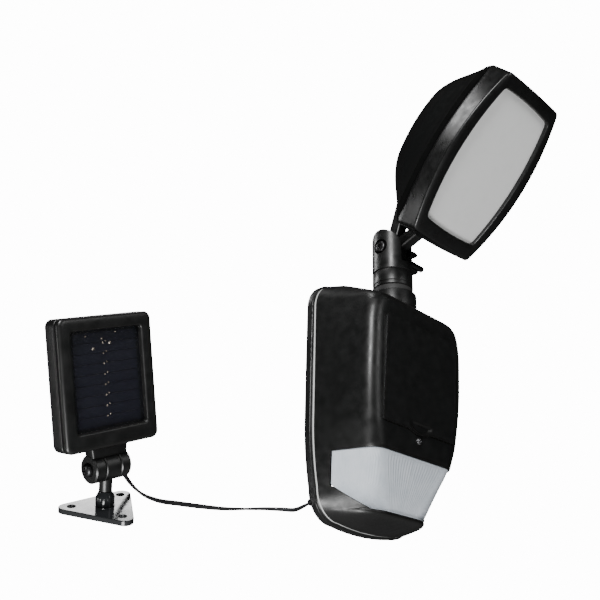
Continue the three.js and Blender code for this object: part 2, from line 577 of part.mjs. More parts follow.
// A four-sided outline whose sides bulge, in x and z about the window's centre. Corner is the share of
// each side that its rounded corners take.
function barrel({ x, z, bulgeX, bulgeZ, corner }, grow = 0, steps = 7) {
  const [halfX, halfZ] = [x + grow, z + grow];
  const tips = [[halfX, -halfZ], [halfX, halfZ], [-halfX, halfZ], [-halfX, -halfZ]];
  const bulges = [[2 * bulgeX, 0], [0, 2 * bulgeZ], [-2 * bulgeX, 0], [0, -2 * bulgeZ]];
  const points = [];
  const sides = tips.map((from, k) => {
    const to = tips[(k + 1) % 4];
    const control = [(from[0] + to[0]) / 2 + bulges[k][0], (from[1] + to[1]) / 2 + bulges[k][1]];
    return new THREE.QuadraticBezierCurve(
      new THREE.Vector2(...from), new THREE.Vector2(...control), new THREE.Vector2(...to));
  });
  sides.forEach((side, k) => {
    const trim = k % 2 ? corner * (z / x) : corner;
    for (let i = 0; i <= steps; i++) points.push(side.getPoint(trim + ((1 - 2 * trim) * i) / steps));
    const next = sides[(k + 1) % 4];
    const nextTrim = k % 2 ? corner : corner * (z / x);
    const bend = new THREE.QuadraticBezierCurve(
      side.getPoint(1 - trim), new THREE.Vector2(...tips[(k + 1) % 4]), next.getPoint(nextTrim));
    points.push(bend.getPoint(0.33), bend.getPoint(0.67));
  });
  return points;
}

// The outline as a ring of the lamp at a depth, shrunk by a factor and lifted.
const lampRing = (outline, y, grow = 0, factor = 1, lift = 0) =>
  barrel(outline, grow).reverse().map((p) =>
    new THREE.Vector3(p.x * factor, y, outline.at + lift + p.y * factor));

const barrelPrism = (outline, grow, back, front) =>
  prism("y", new THREE.Shape(barrel(outline, grow)), back - front, [0, back, outline.at]);

// The lamp's back: a deep dome that rises a little as it closes.
function lampBack(inset) {
  const open = inset > 0 ? GAP * 3 : 0;
  const rings = [lampRing(BAND_OUTLINE, DOME.front - open, -inset)];
  for (const share of [0.12, 0.22, 0.34, 0.47, 0.6, 0.73, 0.85, 0.94, 0.985]) {
    const factor = (1 - share ** DOME.shrink) ** (1 / DOME.round);
    const y = DOME.front + share * (DOME.depth - inset);
    rings.push(lampRing(DOME_OUTLINE, y, DOME.grow - inset, factor, DOME.lift * share));
  }
  return loft(rings);
}

function buildLampShell() {
  const wireHole = cylinder("z", 3, 60, [0, -12, 20], SMALL_ROUND);
  piece(lamp, "lamp_shell", cut(lampBack(0), lampBack(WALL), wireHole), BLACK);
}

// The frame round the window, whose side runs back as a tapering band to the dome.
function buildBezel() {
  const { front, edge, back, wall } = BEZEL;
  const skin = loft([
    lampRing(FRAME_OUTLINE, front, -2.4),
    lampRing(FRAME_OUTLINE, front + 0.6, -0.8),
    lampRing(FRAME_OUTLINE, edge),
    lampRing(BAND_OUTLINE, back),
  ]);
  const room = loft([
    lampRing(FRAME_OUTLINE, LAMP.y + wall, -wall - 1),
    lampRing(BAND_OUTLINE, back + 1, -wall),
  ]);
  const hole = barrelPrism(WINDOW_OUTLINE, 0, 0, -70);
  const pocket = barrelPrism(WINDOW_OUTLINE, 2.6, 0, LAMP.y - GAP);
  piece(lamp, "lamp_bezel", cut(skin, hole, pocket, room), BLACK);
}

function buildLampInsides() {
  piece(lamp, "lamp_window", barrelPrism(WINDOW_OUTLINE, 2.2, LAMP.y + 2, LAMP.y), FROSTED);
  const seal = cut(
    barrelPrism(BAND_OUTLINE, -SEAL_RING.inset, BEZEL.back + SEAL_RING.half, BEZEL.back - SEAL_RING.half),
    barrelPrism(BAND_OUTLINE, -SEAL_RING.inset - SEAL_RING.width, 0, -60),
  );
  piece(lamp, "lamp_seal", seal, RUBBER);
  const boardY = LED_BOARD_Y;
  const trayFront = LAMP.y + 2 + GAP;
  const tray = cut(
    loft([lampRing(WINDOW_OUTLINE, trayFront, 1.5), lampRing(WINDOW_OUTLINE, boardY - GAP, -5)]),
    loft([lampRing(WINDOW_OUTLINE, trayFront - 1, 0.5), lampRing(WINDOW_OUTLINE, boardY + 1, -6.6)]),
  );
  piece(lamp, "reflector", tray, WHITE);
  const board = barrelPrism(WINDOW_OUTLINE, -3, boardY + 1.6, boardY);
  const leds = [];
  for (let column = 0; column < LED.columns; column++) {
    for (let row = 0; row < LED.rows; row++) {
      const x = (column - (LED.columns - 1) / 2) * LED.pitchX;
      const z = LAMP.z + (row - (LED.rows - 1) / 2) * LED.pitchZ;
      leds.push(box(x - LED.size / 2, x + LED.size / 2, boardY - LED.thick, boardY + 0.5,
        z - LED.size / 2, z + LED.size / 2));
    }
  }
  piece(lamp, "led_board", join(board, ...leds), WHITE);
  const sink = box(-22, 22, boardY + 1.9, boardY + 5.5, LAMP.z - 45, LAMP.z + 45);
  piece(lamp, "heat_sink", sink, STEEL);
}

// The V-shaped arm: a ring on the pivot and two legs up to the lamp's back.
function buildLampArm() {
  const leg = (angle, length) => {
    const bar = new THREE.BoxGeometry(2 * ARM.half, ARM.width, length);
    bar.translate(0, 0, length / 2);
    bar.rotateX(degToRad(angle));
    return solid(bar);
  };
  const ring = cylinder("x", ARM.ringR, 2 * ARM.ringHalf, [-ARM.ringHalf, 0, 0]);
  const hub = cut(ring, cylinder("x", BOLT.r + 0.35, 40, [-20, 0, 0]));
  const legs = join(leg(ARM.backAngle, 82), leg(ARM.frontAngle, 46));
  const freed = cut(legs, cylinder("x", ARM.ringR - 1, 40, [-20, 0, 0]));
  const shape = join(hub, freed);
  const clear = barrelPrism(BAND_OUTLINE, 1.2, BEZEL.back + 1, -80);
  piece(lamp, "lamp_arm", cut(shape, lampBack(-GAP), clear), BLACK);
}

// ---------------------------------------------------------------- solar panel unit
const bracket = new THREE.Group();
const level = new THREE.Vector3(0, 0, 1).cross(BRACKET_NORMAL).normalize();
const upSlope = BRACKET_NORMAL.clone().cross(level);
bracket.quaternion.setFromRotationMatrix(new THREE.Matrix4().makeBasis(level, upSlope, BRACKET_NORMAL));
bracket.position.copy(BRACKET_FOOT);
light.add(bracket);

const knuckle = new THREE.Group();
knuckle.position.z = PANEL_PIVOT;
knuckle.rotation.z = PANEL_YAW;
bracket.add(knuckle);

const panel = new THREE.Group();
panel.rotation.x = PANEL_TILT;
knuckle.add(panel);

function buildBracketBase() {
  const corners = [0, 1, 2].map((k) => {
    const angle = BRACKET.turn + (k * 2 * Math.PI) / 3;
    return [Math.cos(angle), Math.sin(angle)];
  });
  const discs = corners.map(([c, s]) =>
    cylinder("z", BRACKET.corner, BRACKET.thick, [c * BRACKET.r, s * BRACKET.r, 0], SMALL_ROUND));
  const triangle = new THREE.Shape();
  corners.forEach(([c, s], k) => {
    for (const turn of [-Math.PI / 3, Math.PI / 3]) {
      const angle = Math.atan2(s, c) + turn;
      const point = [
        c * BRACKET.r + BRACKET.corner * Math.cos(angle),
        s * BRACKET.r + BRACKET.corner * Math.sin(angle),
      ];
      if (k === 0 && turn < 0) triangle.moveTo(...point);
      else triangle.lineTo(...point);
    }
  });
  const plate = join(prism("z", triangle, BRACKET.thick), ...discs);
  const holes = corners.map(([c, s]) =>
    cylinder("z", BRACKET.holeR, 20, [c * BRACKET.holeAt, s * BRACKET.holeAt, -5], SMALL_ROUND));
  const post = cylinder("z", COLLAR.postR, 9, [0, 0, 1], SMALL_ROUND);
  const bore = cylinder("z", COLLAR.spigotR + 0.35, 20, [0, 0, 3], SMALL_ROUND);
  piece(bracket, "bracket_base", cut(join(plate, post), ...holes, bore), GLOSS_BLACK);
  const { foot, top, outerR, postR, spigotR } = COLLAR;
  const collar = turned([
    [postR + 0.35, foot], [outerR, foot], [outerR, top - 3], [outerR - 1.4, top],
    [spigotR + 0.4, top], [spigotR + 0.4, 10.4], [postR + 0.35, 10.4], [postR + 0.35, foot],
  ]);
  piece(bracket, "bracket_collar", collar, GLOSS_BLACK);
}

function buildStem() {
  const tongue = cylinder("x", KNUCKLE.r, 2 * KNUCKLE.tongue, [-KNUCKLE.tongue, 0, 0]);
  const drop = PANEL_PIVOT - COLLAR.top - GAP;
  const neck = cylinder("z", COLLAR.stemR + 0.8, drop - 2, [0, 0, -drop], SMALL_ROUND);
  const spigotLength = PANEL_PIVOT - 3.6;
  const spigot = cylinder("z", COLLAR.spigotR, spigotLength - 4, [0, 0, -spigotLength], SMALL_ROUND);
  const bore = cylinder("x", KNUCKLE.boreR, 40, [-20, 0, 0], SMALL_ROUND);
  piece(knuckle, "bracket_stem", cut(join(tongue, neck, spigot), bore), BLACK);
}

function buildPanelTray() {
  const { half, foot, top, split, back, corner } = PANEL;
  const body = prism("y", rectangle(-half, half, foot, top, corner), back - split, [0, back, 0], 4);
  const wall = 2;
  const inside = rectangle(-half + wall, half - wall, foot + wall, top - wall, corner - wall);
  const hollow = prism("y", inside, 40, [0, back - wall, 0], 3);
  const neck = box(-NECK.half, NECK.half, NECK.front, NECK.back, NECK.foot, foot + 1);
  const barrel = cylinder("x", KNUCKLE.r, 2 * KNUCKLE.outer, [-KNUCKLE.outer, 0, 0]);
  const room = cylinder("x", KNUCKLE.r + 1.2, 2 * KNUCKLE.lug, [-KNUCKLE.lug, 0, 0]);
  const bore = cylinder("x", KNUCKLE.boreR, 60, [-30, 0, 0], SMALL_ROUND);
  const leadHole = cylinder("y", LEAD_R + 0.4, 12, [LEAD_EXIT.x, back + 2, LEAD_EXIT.z], SMALL_ROUND);
  piece(panel, "panel_tray", cut(join(cut(body, hollow), neck, barrel), room, bore, leadHole), BLACK);
}

function buildPanelFront() {
  const { half, foot, top, front, split, corner } = PANEL;
  const y = split - GAP;
  const ring = (inset, r) => rectangle(-half + inset, half - inset, foot + inset, top - inset, r);
  const edge = prism("y", ring(0, corner), y - front - 1.2, [0, y, 0], 4);
  const face = prism("y", ring(1.2, corner - 1), 1.6, [0, front + 1.6, 0], 4);
  const { half: openHalf, foot: openFoot, top: openTop } = OPENING;
  const hole = prism("y", rectangle(-openHalf, openHalf, openFoot, openTop, 2), 20, [0, 0, 0], 3);
  const pocketShape = rectangle(-openHalf - 3, openHalf + 3, openFoot - 3, openTop + 3);
  const pocket = prism("y", pocketShape, 3.4, [0, split + 1, 0]);
  piece(panel, "panel_bezel", cut(join(edge, face), hole, pocket), BLACK);
  const grow = 2.6;
  const sheet = (name, yBack, yFront, look) => piece(panel, name,
    box(-openHalf - grow, openHalf + grow, yFront, yBack, openFoot - grow, openTop + grow), look);
  sheet("solar_cells", split, split - 0.9, CELL_BLUE);
  sheet("panel_glass", split - 1.2, split - 2.1, GLASS);
}

function buildKnuckleScrew() {
  const at = KNUCKLE.outer + GAP;
  const { headR, headThick, nutR, nutThick } = KNUCKLE_SCREW;
  const head = cylinder("x", headR, headThick, [-at - headThick, 0, 0]);
  const shank = cylinder("x", KNUCKLE.pinR, 2 * at + 4, [-at - 1, 0, 0], SMALL_ROUND);
  piece(panel, "knuckle_screw", join(head, shank), DARK_STEEL);
  const nut = cut(
    cylinder("x", nutR, nutThick, [at, 0, 0], 6),
    cylinder("x", KNUCKLE.pinR + 0.35, 20, [0, 0, 0], SMALL_ROUND),
  );
  piece(panel, "knuckle_nut", nut, DARK_STEEL);
}

// ---------------------------------------------------------------- lead
function buildLead() {
  const section = new THREE.Shape();
  for (let k = 0; k < LEAD_SIDES; k++) {
    const angle = (k * 2 * Math.PI) / LEAD_SIDES;
    const point = [LEAD_R * Math.cos(angle), LEAD_R * Math.sin(angle)];
    if (k) section.lineTo(...point);
    else section.moveTo(...point);
  }
  const tube = new THREE.ExtrudeGeometry(
    section, { steps: LEAD_STEPS, bevelEnabled: false, extrudePath: leadCurve });
  piece(light, "lead", solid(tube), RUBBER);

  const { x, z, reliefLength, reliefR, reliefTipR } = LEAD_EXIT;
  const relief = turned([
    [LEAD_R + 0.5, 0], [reliefR, 0], [reliefTipR, reliefLength],
    [LEAD_R + 0.5, reliefLength], [LEAD_R + 0.5, 0],
  ], SMALL_ROUND);
  const relieved = toGeometry(relief).rotateX(-Math.PI / 2).translate(x, PANEL.back + GAP, z);
  piece(panel, "panel_strain_relief", solid(relieved), RUBBER);
  piece(light, "inlet_grommet", cut(rimRod(GROMMET.r, GROMMET.length), rimRod(GROMMET.boreR, 30)), RUBBER);
}

buildBackPlate();
buildSeal();
buildFrontHousing();
buildCaseScrews();
buildLens();
buildDoor();
buildDoorScrew();
buildBattery();
buildElectronics();
buildSensor();
buildSwivel();
buildClevis();
buildPivotBolt();
buildLampShell();
buildBezel();
buildLampInsides();
buildLampArm();
buildBracketBase();
buildStem();
buildPanelTray();
buildPanelFront();
buildKnuckleScrew();
buildLead();

export default light;
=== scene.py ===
import contextlib
import json
import math

import bmesh
import bpy
from mathutils import Matrix, Vector


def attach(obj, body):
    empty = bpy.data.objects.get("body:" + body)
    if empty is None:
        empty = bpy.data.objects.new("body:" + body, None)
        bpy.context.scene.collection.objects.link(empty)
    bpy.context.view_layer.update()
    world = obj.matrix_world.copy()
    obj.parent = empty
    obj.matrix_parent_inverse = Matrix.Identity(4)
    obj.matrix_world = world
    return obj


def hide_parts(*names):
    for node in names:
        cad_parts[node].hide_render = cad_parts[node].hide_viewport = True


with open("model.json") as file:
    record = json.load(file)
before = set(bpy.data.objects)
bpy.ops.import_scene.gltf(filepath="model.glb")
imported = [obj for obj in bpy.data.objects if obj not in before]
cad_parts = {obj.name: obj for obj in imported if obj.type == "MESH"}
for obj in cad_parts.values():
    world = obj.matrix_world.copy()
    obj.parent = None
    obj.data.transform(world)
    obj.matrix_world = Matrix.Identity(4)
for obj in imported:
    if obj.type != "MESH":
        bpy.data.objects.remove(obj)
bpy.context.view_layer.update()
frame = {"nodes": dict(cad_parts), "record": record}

# Lengths are in millimetres and angles in degrees, unless a comment says otherwise.
MM = 0.001
GAP = 0.3


def turn(axis, degrees):
    return Matrix.Rotation(math.radians(degrees), 4, axis)


def move(x, y, z):
    return Matrix.Translation((x, y, z))


# ---- camera, placed in metres
HEADING, PITCH, ROLL = (math.radians(v) for v in (45.72, 24.96, 1.50))
CAMERA_AT = (-0.600274, -0.507049, -0.252606)
FOCAL_LENGTH, SENSOR_WIDTH, CLIP_END = 54, 36, 50


def add_camera():
    level = Vector((math.cos(HEADING), -math.sin(HEADING), 0))
    ahead = Vector((
        math.cos(PITCH) * math.sin(HEADING), math.cos(PITCH) * math.cos(HEADING), math.sin(PITCH)))
    over = level.cross(ahead)
    right = level * math.cos(ROLL) + over * math.sin(ROLL)
    up = over * math.cos(ROLL) - level * math.sin(ROLL)
    camera = bpy.data.objects.new("camera", bpy.data.cameras.new("camera"))
    camera.matrix_world = Matrix((right, up, -ahead)).transposed().to_4x4()
    camera.matrix_world.translation = CAMERA_AT
    camera.data.lens = FOCAL_LENGTH
    camera.data.sensor_width = SENSOR_WIDTH
    camera.data.clip_end = CLIP_END
    bpy.context.collection.objects.link(camera)
    bpy.context.scene.camera = camera


add_camera()


# ---- materials
NOISE_LOW, NOISE_HIGH = 0.3, 0.7
BRUSH_MM = 1.2
LAMP_SPOT_MM = 11
GRID_BANDS_PER_MM = 0.30
TRACK_MM = 5


LOOKS = {}


class Look:
    """A material built from nodes round one Principled shader, kept in LOOKS under its name."""

    def __init__(self, name, **values):
        self.material = LOOKS[name] = bpy.data.materials.new(name)
        self.material.use_nodes = True
        self.tree = self.material.node_tree
        self.shader = next(n for n in self.tree.nodes if n.type == "BSDF_PRINCIPLED")
        for socket, value in values.items():
            self.shader.inputs[socket.replace("_", " ")].default_value = value
        self.where = self.tree.nodes.new("ShaderNodeTexCoord").outputs["Object"]

    def node(self, kind, inputs=None, **settings):
        made = self.tree.nodes.new(kind)
        for key, value in settings.items():
            setattr(made, key, value)
        for socket, value in (inputs or {}).items():
            if isinstance(value, bpy.types.NodeSocket):
                self.tree.links.new(value, made.inputs[socket])
            else:
                made.inputs[socket].default_value = value
        return made

    def noise(self, size_mm, detail=3, rough=0.55):
        inputs = {"Vector": self.where, "Scale": 1 / (size_mm * MM), "Detail": detail, "Roughness": rough}
        return self.node("ShaderNodeTexNoise", inputs).outputs["Fac"]

    def spread(self, value, low, high, start=NOISE_LOW, end=NOISE_HIGH):
        """Stretches a noise's middle range onto low to high."""
        inputs = {"Value": value, "From Min": start, "From Max": end, "To Min": low, "To Max": high}
        return self.node("ShaderNodeMapRange", inputs).outputs["Result"]

    def ramp(self, value, stops):
        made = self.node("ShaderNodeValToRGB", {"Fac": value})
        ends = made.color_ramp.elements
        while len(ends) < len(stops):
            ends.new(0.5)
        for end, (at, colour) in zip(ends, stops):
            end.position = at
            end.color = (*colour, 1)
        return made.outputs["Color"]

    def blend(self, value, dark, light):
        """A colour that drifts from dark to light over a noise's middle range."""
        return self.ramp(value, [(NOISE_LOW, dark), (NOISE_HIGH, light)])

    def gloss(self, size_mm, low, high):
        self.drive("Roughness", self.spread(self.noise(size_mm), low, high))

    def bump(self, height, depth_mm, strength=1):
        inputs = {"Height": height, "Distance": depth_mm * MM, "Strength": strength}
        return self.node("ShaderNodeBump", inputs).outputs["Normal"]

    def drive(self, socket, value):
        self.tree.links.new(value, self.shader.inputs[socket])


def tinted(colour, factor):
    return tuple(c * factor for c in colour)


def moulded(name, colour, rough, grain=0.5, depth=0.012, spread=0.07, mottle=0.14, **values):
    """Moulded plastic or rubber: spark-eroded grain, soft cloudiness and uneven gloss."""
    look = Look(name, **values)
    cloud = look.noise(28, 4)
    look.drive("Base Color", look.blend(cloud, tinted(colour, 1 - mottle), tinted(colour, 1 + mottle)))
    look.gloss(7, rough - spread, rough + spread)
    if depth:
        pits = look.noise(grain, 2, 0.6)
        look.drive("Normal", look.bump(pits, depth))


def metal(name, colour, rough):
    """Brushed or cast metal: fine strokes that vary its colour, gloss and surface."""
    look = Look(name, Metallic=1)
    scaled = look.node("ShaderNodeMapping", {"Vector": look.where, "Scale": (1, 1, 6)})
    strokes = look.node(
        "ShaderNodeTexNoise", {"Vector": scaled.outputs["Vector"], "Scale": 1 / (BRUSH_MM * MM), "Detail": 4})
    grey = strokes.outputs["Fac"]
    look.drive("Base Color", look.ramp(grey, [(0.35, tinted(colour, 0.8)), (0.65, tinted(colour, 1.1))]))
    look.drive("Roughness", look.spread(grey, rough - 0.07, rough + 0.09))
    look.drive("Normal", look.bump(grey, 0.01, 0.5))


def milky():
    """Polyethylene lens: cloudy, a little bluish, with light let through."""
    look = Look("milky_lens", Subsurface_Weight=0.35, Subsurface_Scale=0.004, IOR=1.5)
    look.shader.inputs["Subsurface Radius"].default_value = (1, 1, 1)
    look.drive("Base Color", look.blend(look.noise(12), (0.52, 0.57, 0.62), (0.60, 0.64, 0.69)))
    look.gloss(4, 0.34, 0.46)
    look.drive("Normal", look.bump(look.noise(0.8), 0.01))


def frosted():
    """Diffuser sheet: etched, light grey, with faint painted shade where the lamps sit behind."""
    look = Look("frosted_window", IOR=1.49, Specular_IOR_Level=0.35)
    # Painted shade of the lamps behind the sheet: slightly darker round spots about LAMP_SPOT_MM apart.
    spots = look.node("ShaderNodeTexVoronoi", {"Vector": look.where, "Scale": 1 / (LAMP_SPOT_MM * MM)})
    shade = look.spread(spots.outputs["Distance"], 0, 1, 0.05, 0.5)
    look.drive("Base Color", look.ramp(shade, [(0, (0.86, 0.865, 0.855)), (1, (0.88, 0.885, 0.875))]))
    look.gloss(5, 0.42, 0.52)
    look.drive("Normal", look.bump(look.noise(0.5), 0.008))


def silicon():
    """Solar cells under resin: blue-violet, with fine level grid lines."""
    look = Look("solar_cell", Coat_Weight=0.12, Coat_Roughness=0.2, IOR=1.5)
    lines = look.node("ShaderNodeTexWave", {
        "Vector": look.where, "Scale": GRID_BANDS_PER_MM / MM, "Distortion": 3, "Detail": 3},
        bands_direction="Z")
    look.drive("Base Color", look.ramp(
        lines.outputs["Fac"],
        [(0, (0.001, 0.001, 0.003)), (0.6, (0.003, 0.003, 0.008)), (1, (0.007, 0.007, 0.018))]))
    look.gloss(2, 0.38, 0.48)


def clear_cover():
    """The panel's clear sheet: nearly all light goes through."""
    look = Look("clear_cover", Alpha=0.1, IOR=1.45)
    look.gloss(9, 0.03, 0.09)
    look.drive("Base Color", look.blend(look.noise(20), (0.016, 0.018, 0.024), (0.024, 0.026, 0.032)))


def board_green():
    """Green solder resist with a pattern of tracks."""
    look = Look("circuit_board")
    tracks = look.node("ShaderNodeTexBrick", {
        "Vector": look.where, "Scale": 1 / (TRACK_MM * MM), "Color1": (0.012, 0.10, 0.035, 1),
        "Color2": (0.010, 0.085, 0.03, 1), "Mortar": (0.02, 0.17, 0.07, 1), "Mortar Size": 0.04})
    look.drive("Base Color", tracks.outputs["Color"])
    look.gloss(3, 0.35, 0.5)


BLACK = (0.0045, 0.0047, 0.0046)
moulded("black_plastic", BLACK, 0.37)
moulded("satin_black", BLACK, 0.33, depth=0.008)
# Painted shade: the lamp shell's black is BLACK darkened to 0.4; its high roughness and weak specular are its
# matt finish.
moulded("matt_black", tinted(BLACK, 0.4), 0.75, Specular_IOR_Level=0.05)
moulded("gloss_black", (0.012, 0.013, 0.014), 0.16, depth=0.004, spread=0.04)
# Painted highlight: the seal's pale grey gives the bright line along the housing's back edge.
moulded("grey_seal", (0.62, 0.63, 0.62), 0.75, grain=0.9, depth=0.05)
moulded("rubber", (0.022, 0.022, 0.022), 0.62, grain=0.6, depth=0.02)
moulded("lead_jacket", (0.016, 0.016, 0.017), 0.34, grain=0.7, depth=0.01)
milky()
frosted()
moulded("white_plastic", (0.76, 0.76, 0.74), 0.35, mottle=0.03)
moulded("cell_wrap", (0.03, 0.16, 0.07), 0.30, grain=2, depth=0.01)
board_green()
silicon()
clear_cover()
metal("steel", (0.55, 0.56, 0.57), 0.32)
metal("dark_steel", (0.06, 0.06, 0.062), 0.36)
metal("door_steel", (0.30, 0.30, 0.31), 0.28)
metal("solder", (0.34, 0.30, 0.25), 0.25)


# ---- mesh tools
WELD, CARVE_WELD = 1e-7, 2e-6  # metres
FLAT = 0.5
POINT_R = 1e-4
FRAMES = {
    "x": Matrix(((0, 0, 1, 0), (1, 0, 0, 0), (0, 1, 0, 0), (0, 0, 0, 1))),
    "y": Matrix(((1, 0, 0, 0), (0, 0, -1, 0), (0, 1, 0, 0), (0, 0, 0, 1))),
    "z": Matrix(),
}


@contextlib.contextmanager
def editing(mesh):
    work = bmesh.new()
    work.from_mesh(mesh)
    yield work
    work.to_mesh(mesh)
    work.free()


def settle(obj):
    """Turns a mesh and its modifiers into a plain mesh."""
    bpy.context.view_layer.update()
    made = bpy.data.meshes.new_from_object(obj.evaluated_get(bpy.context.evaluated_depsgraph_get()))
    obj.modifiers.clear()
    obj.data = made


def add_mesh(name, points, faces, at=Matrix()):
    """A mesh object from points in millimetres in the frame `at`."""
    mesh = bpy.data.meshes.new(name)
    mesh.from_pydata([(at @ Vector(p)) * MM for p in points], [], faces)
    with editing(mesh) as work:
        bmesh.ops.remove_doubles(work, verts=work.verts, dist=WELD)
        bmesh.ops.dissolve_degenerate(work, edges=work.edges, dist=WELD)
        bmesh.ops.recalc_face_normals(work, faces=work.faces)
    obj = bpy.data.objects.new(name, mesh)
    bpy.context.collection.objects.link(obj)
    return obj


def skin(name, rings, at=Matrix(), caps=True, loop=False, wrap=True, skip=None):
    """A surface through rings of equal count. skip(row, column) leaves a face out."""
    count = len(rings[0])
    points = [p for ring in rings for p in ring]
    rows = len(rings) if loop else len(rings) - 1
    faces = []
    for row in range(rows):
        for column in range(count if wrap else count - 1):
            if skip and skip(row, column):
                continue
            a, b = row * count + column, row * count + (column + 1) % count
            c = (row + 1) % len(rings) * count
            faces.append((a, b, c + (column + 1) % count, c + column))
    if caps and not loop:
        faces.append(tuple(range(count)))
        faces.append(tuple(range(len(points) - count, len(points))))
    return add_mesh(name, points, faces, at)


def disc(r, sides=64, u=0, v=0):
    angles = [2 * math.pi * k / sides for k in range(sides)]
    return [(u + r * math.cos(a), v + r * math.sin(a)) for a in angles]


def rounded(u0, u1, v0, v1, r, steps=8):
    """A rectangle with rounded corners."""
    corners = ((u1 - r, v0 + r, -90), (u1 - r, v1 - r, 0), (u0 + r, v1 - r, 90), (u0 + r, v0 + r, 180))
    points = []
    for u, v, start in corners:
        for k in range(steps + 1):
            a = math.radians(start + 90 * k / steps)
            points.append((u + r * math.cos(a), v + r * math.sin(a)))
    return points


def prism(name, axis, outline, low, high, at=Matrix()):
    """An outline (u, v) across an axis, between two places on it. Along y it grows to -y."""
    rings = [[(u, v, w) for u, v in outline] for w in (low, high)]
    return skin(name, rings, at @ FRAMES[axis])


def turned(name, axis, profile, at=Matrix(), sides=72):
    """A turned piece about an axis, from [radius, place] pairs. A bored one closes on itself."""
    rings = [[(u, v, w) for u, v in disc(max(r, POINT_R), sides)] for r, w in profile]
    return skin(name, rings, at @ FRAMES[axis], loop=profile[0][0] > 0)


def tube(bore, r, low, high, edge):
    """The profile of a bored ring with chamfered rims."""
    return [(bore, low), (r - edge, low), (r, low + edge), (r, high - edge), (r - edge, high), (bore, high)]


def carve(obj, *tools, how="DIFFERENCE"):
    """Cuts the tools from a mesh, or joins or intersects them with it."""
    for tool in tools:
        step = obj.modifiers.new("carve", "BOOLEAN")
        step.object = tool
        step.operation = how
        step.solver = "EXACT"
        settle(obj)
        bpy.data.objects.remove(tool)
    with editing(obj.data) as work:
        bmesh.ops.remove_doubles(work, verts=work.verts, dist=CARVE_WELD)
        bmesh.ops.dissolve_degenerate(work, edges=work.edges, dist=CARVE_WELD)
        bmesh.ops.dissolve_limit(
            work, angle_limit=math.radians(FLAT), verts=work.verts, edges=work.edges,
            use_dissolve_boundaries=False)


def round_edges(obj, width, segments, angle):
    """A bevel in millimetres on the edges sharper than an angle."""
    step = obj.modifiers.new("edges", "BEVEL")
    step.width = width * MM
    step.segments = segments
    step.limit_method = "ANGLE"
    step.angle_limit = math.radians(angle)
    return step


def dress(obj, body, *nodes, look="black_plastic", bevel=0, segments=3, angle=38):
    """Rounds a piece's edges in millimetres, shades it, ties it to its body and hides the CAD nodes it stands
    in for.
    """
    obj.data.shade_smooth()
    obj.data.set_sharp_from_angle(angle=math.radians(angle))
    if bevel:
        round_edges(obj, bevel, segments, angle).miter_outer = "MITER_ARC"
        obj.modifiers.new("normals", "WEIGHTED_NORMAL").keep_sharp = True
    obj.data.materials.clear()
    obj.data.materials.append(LOOKS[look])
    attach(obj, body)
    if nodes:
        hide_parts(*nodes)
    return obj


def shell(obj, thickness):
    """Gives an open surface a wall, grown inwards."""
    step = obj.modifiers.new("wall", "SOLIDIFY")
    step.thickness = thickness * MM
    step.offset = -1
    step.use_quality_normals = True
    settle(obj)
    return obj


def join_meshes(whole, part):
    if whole is None:
        return part
    with editing(whole.data) as work:
        work.from_mesh(part.data)
    bpy.data.objects.remove(part)
    return whole


# ---- lead
LEAD_WIDTH, LEAD_THICK = 3.4, 1.8
LEAD_TURNS = 1.5
CORE_ARC, CORE_STEPS = 78, 8
LEAD_POINTS = [  # metres, from the panel to the back plate
    (-0.2824, -0.0376, -0.0871), (-0.2821, -0.0332, -0.0866), (-0.2804, -0.029, -0.0895),
    (-0.2766, -0.027, -0.0965), (-0.271, -0.0268, -0.1055), (-0.2625, -0.0265, -0.115),
    (-0.251, -0.026, -0.1215), (-0.236, -0.025, -0.1236), (-0.217, -0.0235, -0.1222),
    (-0.195, -0.021, -0.1201), (-0.172, -0.0185, -0.1174), (-0.149, -0.016, -0.1134),
    (-0.127, -0.0135, -0.1092), (-0.106, -0.011, -0.1058), (-0.089, -0.0085, -0.103),
    (-0.076, -0.006, -0.0976), (-0.0654, -0.0044, -0.0922), (-0.0565, -0.0036, -0.0878),
    (-0.049, -0.0034, -0.085),
]


def between(a, b, ta, tb, t):
    """Where t falls from a, at ta, to b, at tb."""
    return a + (b - a) * ((t - ta) / (tb - ta))


def smooth_path(points, per_span=14):
    """A centripetal curve through the points, ends included."""
    given = [Vector(p) for p in points]
    given = [2 * given[0] - given[1], *given, 2 * given[-1] - given[-2]]
    path = []
    for p in zip(given, given[1:], given[2:], given[3:]):
        knots = [0]
        for a, b in zip(p, p[1:]):
            knots.append(knots[-1] + math.sqrt((b - a).length))
        for i in range(per_span):
            t = knots[1] + (knots[2] - knots[1]) * i / per_span
            level = p
            for reach in (1, 2, 3):
                pairs = list(zip(level, level[1:]))
                spans = [(knots[j], knots[j + reach]) for j in range(len(pairs))]
                if reach == 3:
                    spans = [(knots[1], knots[2])]
                level = [between(a, b, *span, t) for (a, b), span in zip(pairs, spans)]
            path.append(level[0])
    path.append(given[-2])
    return path


def twin_core(path):
    """A flat two-core cord swept along a path, with a slow twist."""
    core = LEAD_THICK / 2 * MM
    apart = (LEAD_WIDTH - LEAD_THICK) / 2 * MM
    side = Vector((0, 0, 1))
    rings = []
    for k, point in enumerate(path):
        ahead = (path[min(k + 1, len(path) - 1)] - path[max(k - 1, 0)]).normalized()
        side = (side - ahead * side.dot(ahead)).normalized()
        angle = 2 * math.pi * LEAD_TURNS * k / (len(path) - 1)
        across = Matrix.Rotation(angle, 3, ahead) @ side
        through = ahead.cross(across)
        ring = []
        for sign in (1, -1):
            for step in range(CORE_STEPS + 1):
                a = math.radians(-CORE_ARC + 2 * CORE_ARC * step / CORE_STEPS)
                out, over = apart + core * math.cos(a), core * math.sin(a)
                ring.append(point + across * sign * out + through * sign * over)
        rings.append([p / MM for p in ring])
    return skin("lead_cord", rings)


